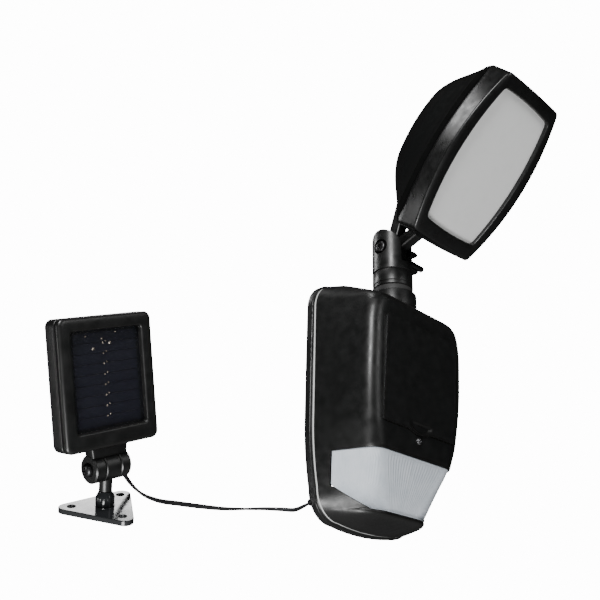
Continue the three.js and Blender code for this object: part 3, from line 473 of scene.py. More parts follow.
lead_path = smooth_path(LEAD_POINTS)
lead = dress(twin_core(lead_path), "housing", "lead", look="lead_jacket")


# ---- housing outline
PLATE_TOP, PLATE_FOOT = 112, -109
CROWN_R, CROWN_X, CROWN_Z = 28, 42, 80
CHIN_R, CHIN_X, CHIN_Z, CHIN_TAPER = 26, 38, -80, -25
HALF_WIDTH = 70
SHELL_BACK = 9.9


def plate_half(z):
    """Half the width of the housing's back edge at a height."""
    crown_foot = CROWN_Z + CROWN_R
    chin_top = CHIN_Z - CHIN_R
    if z >= crown_foot:
        return CROWN_X * math.sqrt(max(0, (PLATE_TOP - z) / (PLATE_TOP - crown_foot)))
    if z >= CROWN_Z:
        return CROWN_X + math.sqrt(CROWN_R ** 2 - (z - CROWN_Z) ** 2)
    if z >= CHIN_TAPER:
        return HALF_WIDTH
    if z >= CHIN_Z:
        drop = (CHIN_TAPER - z) / (CHIN_TAPER - CHIN_Z)
        return HALF_WIDTH - (HALF_WIDTH - CHIN_X - CHIN_R) * drop ** 2
    if z >= chin_top:
        return CHIN_X + math.sqrt(CHIN_R ** 2 - (CHIN_Z - z) ** 2)
    return CHIN_X * math.sqrt(max(0, (z - PLATE_FOOT) / (chin_top - PLATE_FOOT)))


def plate_outline(grow=0, steps=110):
    """The closed outline of the back edge as (x, z), grown outwards by a little."""
    middle, half = (PLATE_TOP + PLATE_FOOT) / 2, (PLATE_TOP - PLATE_FOOT) / 2
    heights = [middle - half * math.cos(math.pi * k / steps) for k in range(steps + 1)]
    right = [(plate_half(z), z) for z in heights]
    left = [(-x, z) for x, z in right[-2:0:-1]]
    outline = []
    for x, z in right + left:
        reach = math.hypot(x, z)
        outline.append((x * (reach + grow) / reach, z * (reach + grow) / reach))
    return outline


def eased(pairs, at):
    """Smooth interpolation through rising [place, value] pairs that never overshoots them."""
    at = min(max(at, pairs[0][0]), pairs[-1][0])
    k = next(i for i in range(1, len(pairs)) if at <= pairs[i][0])
    slopes = [(b[1] - a[1]) / (b[0] - a[0]) for a, b in zip(pairs, pairs[1:])]
    slopes = [slopes[0], *slopes, slopes[-1]]

    def tangent(i):
        before, after = slopes[i], slopes[i + 1]
        return 2 * before * after / (before + after) if before * after > 0 else 0

    (t0, v0), (t1, v1) = pairs[k - 1], pairs[k]
    span = t1 - t0
    t = (at - t0) / span
    return ((2 * t ** 3 - 3 * t ** 2 + 1) * v0 + (t ** 3 - 2 * t ** 2 + t) * span * tangent(k - 1)
            + (3 * t ** 2 - 2 * t ** 3) * v1 + (t ** 3 - t ** 2) * span * tangent(k))


def straight(pairs, at):
    """Straight-line interpolation through rising [place, value] pairs."""
    for (a, va), (b, vb) in zip(pairs, pairs[1:]):
        if at <= b:
            return va + (vb - va) * max(0, at - a) / (b - a)
    return pairs[-1][1]


FRONT_Y, FRONT_Z, FRONT_LEAN = -70, 16, 4.3
LENS_TOP, LENS_FOOT = -52.5, -97.5


def front_plane(z):
    """Where the housing's leaning front face is at a height."""
    return FRONT_Y - math.tan(math.radians(FRONT_LEAN)) * (z - FRONT_Z)


# (height, y) down the middle of the front, from the foot to the crown
FRONT_PROFILE = [
    (PLATE_FOOT, -SHELL_BACK - 1.5), (-106, -27), (-103.8, -38.5), (-102.6, -43.4), (-101.4, -46.2),
    (-100, -47.6), (-98.4, -48), (-97.3, -47.3), (-94, -48.6), (LENS_TOP - 3, front_plane(LENS_TOP) + 2.2),
    (LENS_TOP - 0.5, front_plane(LENS_TOP) + 1), (LENS_TOP + 0.5, front_plane(LENS_TOP) + 0.4),
    (LENS_TOP + 3, front_plane(LENS_TOP + 3)), (60, front_plane(60)), (68, front_plane(68) + 0.4),
    (74, -73.7), (80, -71.8), (85, -67.3), (88, -61.6), (91, -55.6), (108, -19.8),
    (PLATE_TOP, -SHELL_BACK - 1.5),
]
# (height, half width) and (height, corner radius) of the front
FRONT_HALF = [
    (PLATE_FOOT, 20), (-104, 34), (-97, 36), (-53, 52), (-30, 60), (20, 65), (50, 65), (66, 63), (78, 58),
    (90, 51), (PLATE_TOP, 40),
]
FRONT_CORNER = [(-109, 5), (-103, 14), (-97, 18), (-60, 11), (-40, 14), (72, 14), (90, 12), (108, 4)]
LENS_BACK, LENS_SLANT_BACK, LENS_SLANT, LENS_CHIN = 24, 19, -79, 42.5
DOOR_OPEN_X, DOOR_OPEN_Z = 45, 41
FLANK_STEPS, CORNER_STEPS, FRONT_STEPS = 24, 32, 20


def bent(a, control, b, t):
    """A point on the curve from a to b that a control point pulls outwards."""
    return a * (1 - t) ** 2 + control * 2 * t * (1 - t) + b * t ** 2


def half_section(z, inset):
    """The housing's outline at a height, from its back edge round to the middle, as dense (x, y) points."""
    least, room = 0.5, 0.8
    back = max(least, plate_half(z) - inset)
    front_y = min(eased(FRONT_PROFILE, z) + inset, -SHELL_BACK - least)
    front = max(0.4, min(eased(FRONT_HALF, z) - inset, back - 0.2))
    corner = min(max(1, straight(FRONT_CORNER, z) - inset), (-SHELL_BACK - front_y) * room, front * room)
    tip = Vector((front, front_y))
    side = (Vector((back, -SHELL_BACK)) - tip).normalized()
    start, end = tip + side * corner, Vector((front - corner, front_y))
    points = [Vector((back, -SHELL_BACK)).lerp(start, k / FLANK_STEPS) for k in range(FLANK_STEPS)]
    points += [bent(start, tip, end, k / CORNER_STEPS) for k in range(CORNER_STEPS + 1)]
    points += [end.lerp(Vector((0, front_y)), k / FRONT_STEPS) for k in range(1, FRONT_STEPS + 1)]
    return points


def distances(points):
    """How far along the line each point is."""
    total = [0]
    for a, b in zip(points, points[1:]):
        total.append(total[-1] + (b - a).length)
    return total


def place_at(points, total, want):
    want = min(max(want, 0), total[-1])
    k = next((i for i in range(1, len(total)) if total[i] >= want), len(total) - 1)
    span = total[k] - total[k - 1]
    return points[k - 1].lerp(points[k], (want - total[k - 1]) / span if span else 0)


def lens_edge(z, grow=0):
    """How far forward of the wall the lens starts on the sides at a height."""
    if z >= LENS_SLANT:
        share = (LENS_TOP - z) / (LENS_TOP - LENS_SLANT)
        return LENS_BACK + (LENS_SLANT_BACK - LENS_BACK) * max(0, share) - grow
    drop = min(1, (LENS_SLANT - z) / (LENS_SLANT - LENS_FOOT))
    return LENS_SLANT_BACK + (LENS_CHIN - LENS_SLANT_BACK) * drop - grow


DOOR_SHARE, LENS_SHARE = 0.92, 0.85
NEAR_ZERO = 1e-6


def stations(z, inset, parts, grow=0):
    """Points at fixed stations: back edge, lens edge, door edge and middle."""
    points = half_section(z, inset)
    total = distances(points)
    flat_end = points[-FRONT_STEPS - 1].x
    door = total[-1] - min(DOOR_OPEN_X, DOOR_SHARE * flat_end)
    edge = lens_edge(z, grow)
    k = next((k for k, p in enumerate(points) if -p.y >= edge), len(points) - 1)
    lens = total[k]
    if 0 < k and -points[k].y >= edge:
        a, b = -points[k - 1].y, -points[k].y
        lens = total[k - 1] + (total[k] - total[k - 1]) * (edge - a) / max(NEAR_ZERO, b - a)
    lens = min(lens, LENS_SHARE * door)
    marks = (0, lens, door, total[-1])
    half = []
    for low, high, count in zip(marks, marks[1:], parts):
        half += [place_at(points, total, low + (high - low) * k / count) for k in range(count)]
    middle = place_at(points, total, total[-1])
    right = [(p.x, p.y, z) for p in half]
    left = [(-x, y, h) for x, y, h in reversed(right)]
    return [*right, (middle.x, middle.y, z), *left]


def spaced(marks):
    """Heights from (start, step) pairs, each run ending at the next start."""
    heights = []
    for (low, step), (high, _) in zip(marks, marks[1:]):
        count = max(1, round((high - low) / step))
        heights += [low + (high - low) * k / count for k in range(count)]
    return [*heights, marks[-1][0]]


# ---- housing
SHELL_PARTS = (8, 44, 16)
SHELL_WALL = 2
BOSS_R, BOSS_BORE_R = 21.5, 7.4
RIM_LIP = 1.5
PADS = ((-62, 4.5, 11), (62, 4.5, 11), (0, 0, 20))
KEYHOLE_Z, KEYHOLE_HALF, KEYHOLE_RISE, KEYHOLE_HEAD_R = 62, 2.5, 11.5, 5
WIRE_HOLE = (4, 40, -42, -78)  # radius, sides and centre


def add_housing_shell():
    reach = DOOR_OPEN_Z * math.cos(math.radians(FRONT_LEAN))
    door_low, door_high = FRONT_Z - reach, FRONT_Z + reach
    heights = spaced([
        (-108.7, 0.6), (-106, 0.5), (LENS_FOOT, 0.5), (-96, 1.2), (-56, 1), (LENS_TOP, 0.5),
        (-49, 2), (door_low - 2, 1), (door_low, 1), (door_low + 2, 2.5), (door_high - 2, 1),
        (door_high, 1), (67, 1), (95, 1.4), (108, 0.6), (111.7, 1)])
    rings = [stations(z, 0, SHELL_PARTS) for z in heights]
    rings.append([(x, -SHELL_BACK, z + 0.1) for x, _, z in rings[-1]])
    rings.insert(0, [(x, -SHELL_BACK, z - 0.1) for x, _, z in rings[0]])
    heights = [heights[0], *heights, heights[-1]]
    lens_start = SHELL_PARTS[0]
    door_start = sum(SHELL_PARTS[:2])
    count = len(rings[0])

    def left_out(row, column):
        middle = (heights[row] + heights[min(row + 1, len(heights) - 1)]) / 2
        inner = min(column, count - 2 - column)
        in_lens = LENS_FOOT < middle < LENS_TOP and inner >= lens_start
        in_door = door_low < middle < door_high and inner >= door_start
        return in_lens or in_door

    obj = skin("housing_shell", rings, wrap=False, caps=False, skip=left_out)
    shell(obj, SHELL_WALL)
    dress(obj, "housing", "front_housing", bevel=0.4, segments=2, angle=50)


def add_boss():
    """The round boss the swivel stands on."""
    r, bore = BOSS_R, BOSS_BORE_R
    profile = [
        (bore, 82), (20, 82), (22.6, 84), (21.9, 86.5), (r, 90), (r, 102.8), (21.2, 103.6), (20.4, 104),
        (bore, 104)]
    dress(turned("swivel_boss", "z", profile, move(0, -42, 0)), "housing")


def keyhole(z):
    half = KEYHOLE_HALF
    slot = prism("slot", "y", rounded(-half, half, z - 1, z + KEYHOLE_RISE, 2.49, 12), -1, 10)
    return [slot, prism("head", "y", disc(KEYHOLE_HEAD_R, 48, 0, z), -1, 10)]


def add_back_plate():
    outer = skin("back_plate_rim", [
        [(x, y, z) for x, z in plate_outline(grow)]
        for y, grow in (
            (0, 1.1), (-0.4, RIM_LIP), (-5.4, RIM_LIP), (-6.2, 1.2), (-6.6, 0.4), (-7.4, 0.2), (-8, -0.3))])
    carve(outer, prism("hollow", "y", plate_outline(-RIM_LIP), -1, 5))
    pads = [prism("pad", "y", disc(r, 64 if rise else 96, 0, z + rise), 0, 6) for z, rise, r in PADS]
    carve(outer, *pads, how="UNION")
    carve(outer, *keyhole(KEYHOLE_Z), *keyhole(-KEYHOLE_Z), prism("wire", "y", disc(*WIRE_HOLE), -1, 12))
    dress(outer, "housing", "back_plate", bevel=0.35, segments=2, angle=45)


def add_seal():
    """The seal between the back plate and the shell, pale grey so that it paints a bright highlight line
    along the seam.
    """
    seal = prism("rim_seal", "y", plate_outline(-0.2), 8.2, 9.8)
    carve(seal, prism("inner", "y", plate_outline(-3.4), 7, 11))
    dress(seal, "housing", "housing_seal", look="grey_seal")


add_housing_shell()
add_boss()
add_back_plate()
add_seal()

# ---- sensor lens
LENS_PARTS = (1, 230, 60)
LENS_INSET, LENS_WALL, LENS_BORDER, BORDER_SINK = 1.2, 1.6, 1.2, 0.5
RIB_PITCH, RIB_DEPTH, RIB_FADE = 6, 0.16, 12


def add_sensor_lens():
    """The ribbed wrap-round lens: fine upright ribs, and a smooth border at its top and foot."""
    heights = spaced([(LENS_FOOT + GAP, 0.5), (-96, 1.3), (-55, 0.5), (LENS_TOP - GAP, 1)])
    rings = []
    for z in heights:
        ring = stations(z, LENS_INSET, LENS_PARTS, -GAP)[1:-1]
        edge = min(1, min(z - heights[0], heights[-1] - z) / LENS_BORDER)
        shaped = []
        for k, (x, y, h) in enumerate(ring):
            column = min(k, len(ring) - 1 - k)
            rib = RIB_DEPTH * edge * math.cos(2 * math.pi * column / RIB_PITCH) * min(1, column / RIB_FADE)
            ahead, behind = ring[min(k + 1, len(ring) - 1)], ring[max(k - 1, 0)]
            along = Vector((ahead[0] - behind[0], ahead[1] - behind[1])).normalized()
            out = rib - BORDER_SINK * (1 - edge) ** 2
            shaped.append((x + along.y * out, y - along.x * out, h))
        rings.append(shaped)
    obj = skin("sensor_lens_ribbed", rings, wrap=False, caps=False)
    dress(shell(obj, LENS_WALL), "housing", "sensor_lens", look="milky_lens", angle=60)


# ---- battery door, in the leaning frame
LEAN = move(0, FRONT_Y, FRONT_Z) @ turn("X", FRONT_LEAN)
DOOR_HALF_X, DOOR_HALF_Z, DOOR_PROUD, DOOR_CORNER = 50.5, 46.3, 2.2, 3
TAB_HALF, TAB_DROP, TAB_SOFTNESS = 17, 3.2, 1.3
SCOOP_HALF, SCOOP_RISE, SCOOP_REACH, SCOOP_DEPTH, SCOOP_STEEPNESS = 16, 5.4, 4.6, 1.9, 1.6
LIP_RISE, LIP_REACH, LIP_HEIGHT = 0.9, 1.1, 0.55
CORNER_COLUMNS, CENTRE_COLUMNS = 8, 110
FINE_ROWS, FINE_STEP, COARSE_START, COARSE_ROWS = 13, 0.012, 0.16, 24
LATCH_Z = -54.1


def door_edge(x, side):
    """The door's edge across its top (side 1) or foot (side -1), with its rounded corners and thumb tab."""
    past = max(0, abs(x) - (DOOR_HALF_X - DOOR_CORNER))
    edge = side * (DOOR_HALF_Z - DOOR_CORNER + math.sqrt(max(0, DOOR_CORNER ** 2 - past ** 2)))
    if side < 0 and abs(x) < TAB_HALF:
        edge -= TAB_DROP * math.cos(math.pi * x / (2 * TAB_HALF)) ** TAB_SOFTNESS
    return edge


def door_depth(x, z):
    """How proud the door's face stands: flat, with a thumb scoop over the tab and a lip below it."""
    reach = (x / SCOOP_HALF) ** 2
    foot = door_edge(x, -1)
    scoop = max(0, 1 - reach - ((z - foot - SCOOP_RISE) / SCOOP_REACH) ** 2)
    lip = math.exp(-(((z - foot - LIP_RISE) / LIP_REACH) ** 2)) * max(0, 1 - reach)
    return DOOR_PROUD - SCOOP_DEPTH * min(1, SCOOP_STEEPNESS * scoop) + LIP_HEIGHT * lip


def door_grid():
    """Points over the door's outline, close together at its corners and foot, row by row from the foot."""
    turns = [math.pi / 2 * k / CORNER_COLUMNS for k in range(CORNER_COLUMNS + 1)]
    left = [-DOOR_HALF_X + DOOR_CORNER * (1 - math.cos(a)) for a in turns]
    inner = DOOR_HALF_X - DOOR_CORNER - 1
    centre = [-inner + 2 * inner * k / CENTRE_COLUMNS for k in range(CENTRE_COLUMNS + 1)]
    columns = [*left, *centre, *[-x for x in reversed(left)]]
    shares = [0] + [FINE_STEP * k for k in range(1, FINE_ROWS + 1)]
    shares += [COARSE_START + (1 - COARSE_START) * k / COARSE_ROWS for k in range(1, COARSE_ROWS + 1)]
    grid = []
    for share in shares:
        edges = [(x, door_edge(x, -1), door_edge(x, 1)) for x in columns]
        grid.append([(x, low + (high - low) * share) for x, low, high in edges])
    return grid


def add_door():
    """The door's face, with its front shaped and its back flat, and the spigot behind it."""
    grid = door_grid()
    front = [[(x, -door_depth(x, z), z) for x, z in row] for row in grid]
    back = [[(x, -GAP, z) for x, z in row] for row in grid]
    rows, count = len(grid), len(grid[0])
    points = [p for row in front + back for p in row]
    faces = []
    for r in range(rows - 1):
        for c in range(count - 1):
            a = r * count + c
            faces.append((a, a + 1, a + count + 1, a + count))
            b = a + rows * count
            faces.append((b + count, b + count + 1, b + 1, b))
    rim = [(0, c) for c in range(count)] + [(r, count - 1) for r in range(1, rows)]
    rim += [(rows - 1, c) for c in range(count - 2, -1, -1)] + [(r, 0) for r in range(rows - 2, 0, -1)]
    for (r0, c0), (r1, c1) in zip(rim, rim[1:] + rim[:1]):
        a, b = r0 * count + c0, r1 * count + c1
        faces.append((a, a + rows * count, b + rows * count, b))
    face = add_mesh("battery_door_face", points, faces, LEAN)
    dress(face, "battery_door", "battery_door", bevel=0.45, segments=3, angle=50)
    x, z, wall = DOOR_OPEN_X - 1, DOOR_OPEN_Z - 1, 2
    tray = prism("battery_door_spigot", "y", rounded(-x, x, -z, z, 2), -3, 0.1, LEAN)
    carve(tray, prism("inner", "y", rounded(wall - x, x - wall, wall - z, z - wall, 1), -6, -0.6, LEAN))
    dress(tray, "battery_door", bevel=0.3)


def crossed(axis, half, width, low, high, at):
    """The two slots of a cross recess."""
    shapes = ((width, half), (half, width))
    return [prism("slot", axis, rounded(-u, u, -v, v, 0.2, 2), low, high, at) for u, v in shapes]


def add_door_screw():
    at = LEAN @ move(0, 0, LATCH_Z)
    dome = [(0, 1.75), (1.4, 1.7), (2.5, 1.35), (3, 0.75), (3, 0.3), (1.5, 0.3), (1.5, -8), (0, -8)]
    screw = turned("door_screw_head", "y", dome, at, 48)
    carve(screw, *crossed("y", 1.8, 0.42, 1, 3, at))
    dress(screw, "door_screw", "door_screw", look="door_steel", bevel=0.12, segments=2)


# ---- swivel and clevis
SWIVEL = move(0, -42, 0)
SWIVEL_R = 18.7
PIVOT_Z = 150
PIVOT_HOLE_R = 3.35
CLEVIS_FOOT, CLEVIS_R = 126, 17.5
SLOT_HALF, SLOT_FOOT = 7.7, 134
CHEEK_OUT, CHEEK_R = 15.5, 7.5
STEM_R, STEM_FOOT, STEM_BORE_R = 7, 74, 4
FAR = 30
NUT_FOOT, NUT_TOP = 15.9, 26
WING_AT, WING_LONG, WING_THIN, WING_OFF, WING_DEEP, WING_SIDES = 28.2, 7.8, 1.55, 9, 6.2, 48


def add_rings():
    """The rubber washer and the lock ring under the clevis."""
    r, bore = SWIVEL_R, BOSS_BORE_R
    washer = turned(
        "collar_washer", "z", [(bore, 104.3), (18.3, 104.3), (18.3, 109.7), (bore, 109.7)], SWIVEL)
    dress(washer, "housing", "swivel_washer", look="rubber", bevel=0.5)
    profile = [
        (bore, 110), (r - 0.5, 110), (r, 110.6), (r, 112.4), (r - 0.5, 113), (r - 0.5, 113.6), (r, 114.2),
        (r, 124.9), (r - 0.6, 125.7), (bore, 125.7)]
    ring = turned("collar_lock_ring", "z", profile, SWIVEL)
    dress(ring, "lock_ring", "pan_lock_ring")


def add_clevis():
    """A round column, cut to an arch and slotted for the lamp's arm, on a stem through the housing."""
    foot, top = CLEVIS_FOOT, PIVOT_Z + CLEVIS_R + 4
    at = SWIVEL
    column = [(0, foot), (SWIVEL_R - 0.6, foot), (SWIVEL_R, foot + 0.7), (SWIVEL_R, top), (0, top)]
    clevis = turned("clevis_body", "z", column, at, 96)
    arch = [(-40, foot - 1), (40, foot - 1), (40, PIVOT_Z - 8)]
    arch += [(CLEVIS_R * math.cos(a), PIVOT_Z + CLEVIS_R * math.sin(a))
             for a in (math.radians(-12 + 204 * k / 48) for k in range(49))]
    arch.append((-40, PIVOT_Z - 8))
    carve(clevis, prism("arch", "x", arch, -FAR, FAR, at), how="INTERSECT")
    slot = prism("slot", "y", rounded(-SLOT_HALF, SLOT_HALF, SLOT_FOOT, 200, 1.2, 4), -FAR, FAR, at)
    hole = prism("hole", "x", disc(PIVOT_HOLE_R, 48, 0, PIVOT_Z), -40, 40, at)
    flats = [prism("flat", "x", disc(CHEEK_R, 64, 0, PIVOT_Z), low, low + 24.5, at)
             for low in (-40, CHEEK_OUT)]
    carve(clevis, prism("stem", "z", disc(STEM_R, 64), STEM_FOOT, foot + 1, at), how="UNION")
    carve(clevis, slot, hole, prism("wire", "z", disc(STEM_BORE_R, 32), 60, 170, at), *flats)
    dress(clevis, "swivel", "clevis", bevel=0.7, segments=3, angle=40)


def wing(side, at):
    """One wing of the nut, thickest in its middle."""
    turns = [2 * math.pi * k / WING_SIDES for k in range(WING_SIDES)]
    outline = [(WING_AT + WING_LONG * math.cos(a), side * WING_OFF + WING_THIN * math.sin(a)) for a in turns]
    rings = []
    for w, f, g in (
            (-1, 0.35, 0.7), (-0.9, 0.62, 0.9), (-0.6, 0.88, 1), (0, 1, 1), (0.6, 0.88, 1), (0.9, 0.62, 0.9),
            (1, 0.35, 0.7)):
        rings.append([
            (WING_AT + (x - WING_AT) * f, WING_DEEP * w, side * WING_OFF + (z - side * WING_OFF) * g)
            for x, z in outline])
    return skin("lobe", rings, at)


def add_bolt():
    """The pivot bolt with its hex socket, and the wing nut on its end."""
    at = SWIVEL @ move(0, 0, PIVOT_Z)
    profile = [
        (0, -19.4), (3.6, -19.2), (4.9, -18.6), (5.5, -17.6), (5.5, -NUT_FOOT), (3, -NUT_FOOT), (3, 46),
        (2.3, 47), (0, 47)]
    bolt = turned("clevis_bolt", "x", profile, at, 64)
    carve(bolt, prism("hex", "x", disc(2.2, 6), -22, -17.6, at))
    dress(bolt, "swivel", "pivot_bolt", look="dark_steel", bevel=0.15, segments=2)
    profile = [
        (PIVOT_HOLE_R, NUT_FOOT), (6.4, NUT_FOOT), (6, 17.5), (5, 25.2), (4.4, NUT_TOP),
        (PIVOT_HOLE_R, NUT_TOP)]
    hub = turned("wing_nut_body", "x", profile, at, 64)
    carve(hub, wing(-1, at), wing(1, at), how="UNION")
    dress(hub, "wing_nut", "wing_nut", look="dark_steel", bevel=0.3, segments=2, angle=45)


# ---- lamp head, in its own frame
LAMP = move(0, -42, PIVOT_Z) @ turn("X", 43)
# half width, half height, bulge of the sides, bulge of the ends, corner share, centre height
FRAME_OUTLINE = (40.4, 78.6, 15.4, 0.8, 0.025, 107.7)
BAND_OUTLINE = (39.2, 80.3, 10.4, 0.8, 0.03, 107.7)
DOME_OUTLINE = (39.2, 80.3, 10.4, 0.8, 0.1, 107.7)
WINDOW_OUTLINE = (35.2, 64, 8.8, 2, 0.03, 109)
FRAME_EDGE, BAND_BACK = -48.4, -24
DOME_DEPTH, DOME_SHRINK, DOME_ROUND, DOME_GROW, DOME_LIFT = 77.8, 0.62, 2.9, 5.2, 10.3
DOME_STEPS, DOME_START, DOME_REACH, DOME_WALL = 34, 0.045, 0.954, 2.5
EASE = 0.3
RING_R, RING_HALF, RING_EDGE = 13.5, 7.4, 0.6
LEG_HALF, LEG_CORNER, LEG_FOOT = 6, 2.4, 9
LEGS = ((-24, 79), (26, 43))  # angle and length


def barrel(outline, grow=0, steps=26, bends=8):
    """A four-sided outline whose sides bulge and whose corners are rounded, as (x, z) points."""
    x, z, bulge_x, bulge_z, corner, _ = outline
    hx, hz = x + grow, z + grow
    tips = [Vector(p) for p in ((hx, -hz), (hx, hz), (-hx, hz), (-hx, -hz))]
    pulls = ((2 * bulge_x, 0), (0, 2 * bulge_z), (-2 * bulge_x, 0), (0, -2 * bulge_z))
    bulges = [Vector(p) for p in pulls]
    sides = [(a, (a + b) / 2 + bulge, b) for a, b, bulge in zip(tips, tips[1:] + tips[:1], bulges)]
    points = []
    for k, side in enumerate(sides):
        trim = corner * z / x if k % 2 else corner
        next_trim = corner if k % 2 else corner * z / x
        points += [bent(*side, trim + (1 - 2 * trim) * i / steps) for i in range(steps + 1)]
        start, end = bent(*side, 1 - trim), bent(*sides[(k + 1) % 4], next_trim)
        points += [bent(start, tips[(k + 1) % 4], end, i / bends) for i in range(1, bends)]
    return points


def lamp_ring(outline, y, grow=0, factor=1, lift=0):
    return [(p.x * factor, y, outline[-1] + lift + p.y * factor) for p in barrel(outline, grow)]


def band_ring(y, grow):
    """The frame's side at a depth, where it tapers from the front edge to the dome."""
    share = (y - FRAME_EDGE) / (BAND_BACK - FRAME_EDGE)
    front, back = (lamp_ring(outline, y, grow) for outline in (FRAME_OUTLINE, BAND_OUTLINE))
    return [tuple(Vector(a).lerp(Vector(b), share)) for a, b in zip(front, back)]


def dome_rings(inset, shares):
    """A deep dome that rises a little as it closes."""
    rings = [lamp_ring(BAND_OUTLINE, BAND_BACK, -inset - EASE),
             lamp_ring(BAND_OUTLINE, BAND_BACK + EASE, -inset)]
    for share in shares:
        factor = (1 - share ** DOME_SHRINK) ** (1 / DOME_ROUND)
        y = BAND_BACK + share * (DOME_DEPTH - inset)
        rings.append(lamp_ring(DOME_OUTLINE, y, DOME_GROW - inset, factor, DOME_LIFT * share))
    return rings


def add_lamp_shell():
    """The lamp's domed back, closed at its top inside and out."""
    turns = [math.pi / 2 * k / DOME_STEPS for k in range(DOME_STEPS + 1)]
    shares = [DOME_START + DOME_REACH * math.sin(a) for a in turns]
    outer, inner = dome_rings(0, shares), dome_rings(DOME_WALL, shares)
    obj = skin("lamp_back_shell", outer + inner[::-1], LAMP, caps=False, loop=True,
               skip=lambda r, c: r == len(outer) - 1)
    with editing(obj.data) as work:
        edges = [e for e in work.edges if e.is_boundary]
        bmesh.ops.holes_fill(work, edges=edges, sides=0)
        bmesh.ops.recalc_face_normals(work, faces=work.faces)
    dress(obj, "lamp", "lamp_shell", look="matt_black", angle=42)


def add_lamp_bezel():
    """The frame: its tapering side, rounded front edge, window rebate and hollow back."""
    rings = [band_ring(y, grow) for y, grow in (
        (-27, -2.6), (-24.3, -2.6), (-24.3, -0.5), (-24.5, -0.15), (-25, 0), (-30, 0), (-36, 0),
        (-42, 0), (-47.2, 0))]
    rings += [lamp_ring(FRAME_OUTLINE, y, grow) for y, grow in (
        (-48.2, 0), (-48.9, -0.2), (-49.5, -0.7), (-50, -1.5), (-50.3, -2.6), (-50.4, -3.8))]
    rings += [lamp_ring(WINDOW_OUTLINE, y, grow) for y, grow in (
        (-50.4, 1.4), (-50.3, 0.8), (-50, 0.35), (-49.4, 0.1), (-48.6, 0), (-46.4, 0), (-46.4, 2.6),
        (-43.4, 2.6))]
    rings.append(band_ring(-43, -3.4))
    frame_piece = skin("lamp_front_frame", rings, LAMP, loop=True)
    dress(frame_piece, "lamp", "lamp_bezel", look="satin_black", angle=50)


def add_lamp_window():
    rings = [lamp_ring(WINDOW_OUTLINE, y, 2.2) for y in (-44, -46)]
    window = skin("lamp_diffuser", rings, LAMP)
    dress(window, "lamp", "lamp_window", look="frosted_window", bevel=0.2, segments=2)


def add_arm():
    """Two legs in a V from the pivot's ring to the lamp's back."""
    profile = tube(PIVOT_HOLE_R, RING_R, -RING_HALF, RING_HALF, RING_EDGE)
    ring = turned("lamp_arm_v", "x", profile, LAMP, 96)
    section = rounded(-LEG_HALF, LEG_HALF, -LEG_HALF, LEG_HALF, LEG_CORNER, 5)
    legs = [prism("leg", "z", section, LEG_FOOT, length, LAMP @ turn("X", angle)) for angle, length in LEGS]
    carve(ring, *legs, how="UNION")
    dress(ring, "lamp", "lamp_arm", bevel=0.5, segments=2, angle=45)


# ---- solar panel unit
FOOT = (-282, -33.4, -139.2)
NORMAL = Vector((-0.368, -0.421, 0.829)).normalized()
LEVEL = Vector((0, 0, 1)).cross(NORMAL).normalized()
BRACKET = move(*FOOT) @ Matrix((LEVEL, NORMAL.cross(LEVEL), NORMAL)).transposed().to_4x4()
PIVOT_UP = 29
KNUCKLE = BRACKET @ move(0, 0, PIVOT_UP) @ turn("Z", 43.8)
PANEL = KNUCKLE @ turn("X", -10.5)
P_HALF, P_FOOT, P_TOP, P_FRONT, P_BACK, P_CORNER = 33.4, 13, 92.4, -11.2, 5.4, 4.5
O_HALF, O_FOOT, O_TOP = 25, 24, 84
KNUCKLE_R, LUG_START, LUG_END, KNUCKLE_BORE_R = 8.8, 5.6, 12.8, 2.4
LEAD_HOLE = (2.2, 32, 20, 19)  # radius, sides and centre
SHEET_GROW = 2.6
STRIPS, STRIP_HALF, STRIP_MARGIN, STRIP_GAP = 9, 23.6, 1.5, 0.2
TAB_R, TAB_SHIFT = 0.62, 0.4
# (across, up, radius) of the bigger solder spots at the top
SPOTS = [(-7.5, 72.5, 1.1), (4.6, 75.2, 1.1), (-12.5, 80.5, 0.7), (9, 81.6, 0.7), (-1.2, 78.2, 0.8)]


def panel_ring(y, inset):
    corner = max(0.6, P_CORNER - inset * 0.5)
    outline = rounded(-P_HALF + inset, P_HALF - inset, P_FOOT + inset, P_TOP - inset, corner)
    return [(x, y, z) for x, z in outline]


def opening_ring(y, grow, corner, steps=8):
    outline = rounded(-O_HALF - grow, O_HALF + grow, O_FOOT - grow, O_TOP + grow, corner, steps)
    return [(x, y, z) for x, z in outline]


def add_panel_frame():
    rings = [panel_ring(P_FRONT + y, inset) for y, inset in (
        (5.3, 0.9), (4.9, 0.5), (4.5, 0.1), (2, 0), (1.2, 0.3), (0.7, 0.7), (0.3, 1.3), (0.1, 2),
        (0, 3.2))]
    rings += [opening_ring(P_FRONT + y, grow, corner) for y, grow, corner in (
        (0, 1.5, 2.8), (0.1, 0.9, 2.5), (0.4, 0.5, 2.3), (1, 0.2, 2.1), (3.2, 0, 2),
        (3.2, 3, 2), (5.3, 3, 2))]
    piece = skin("panel_front_frame", rings, PANEL, loop=True)
    dress(piece, "housing", "panel_bezel", angle=50)


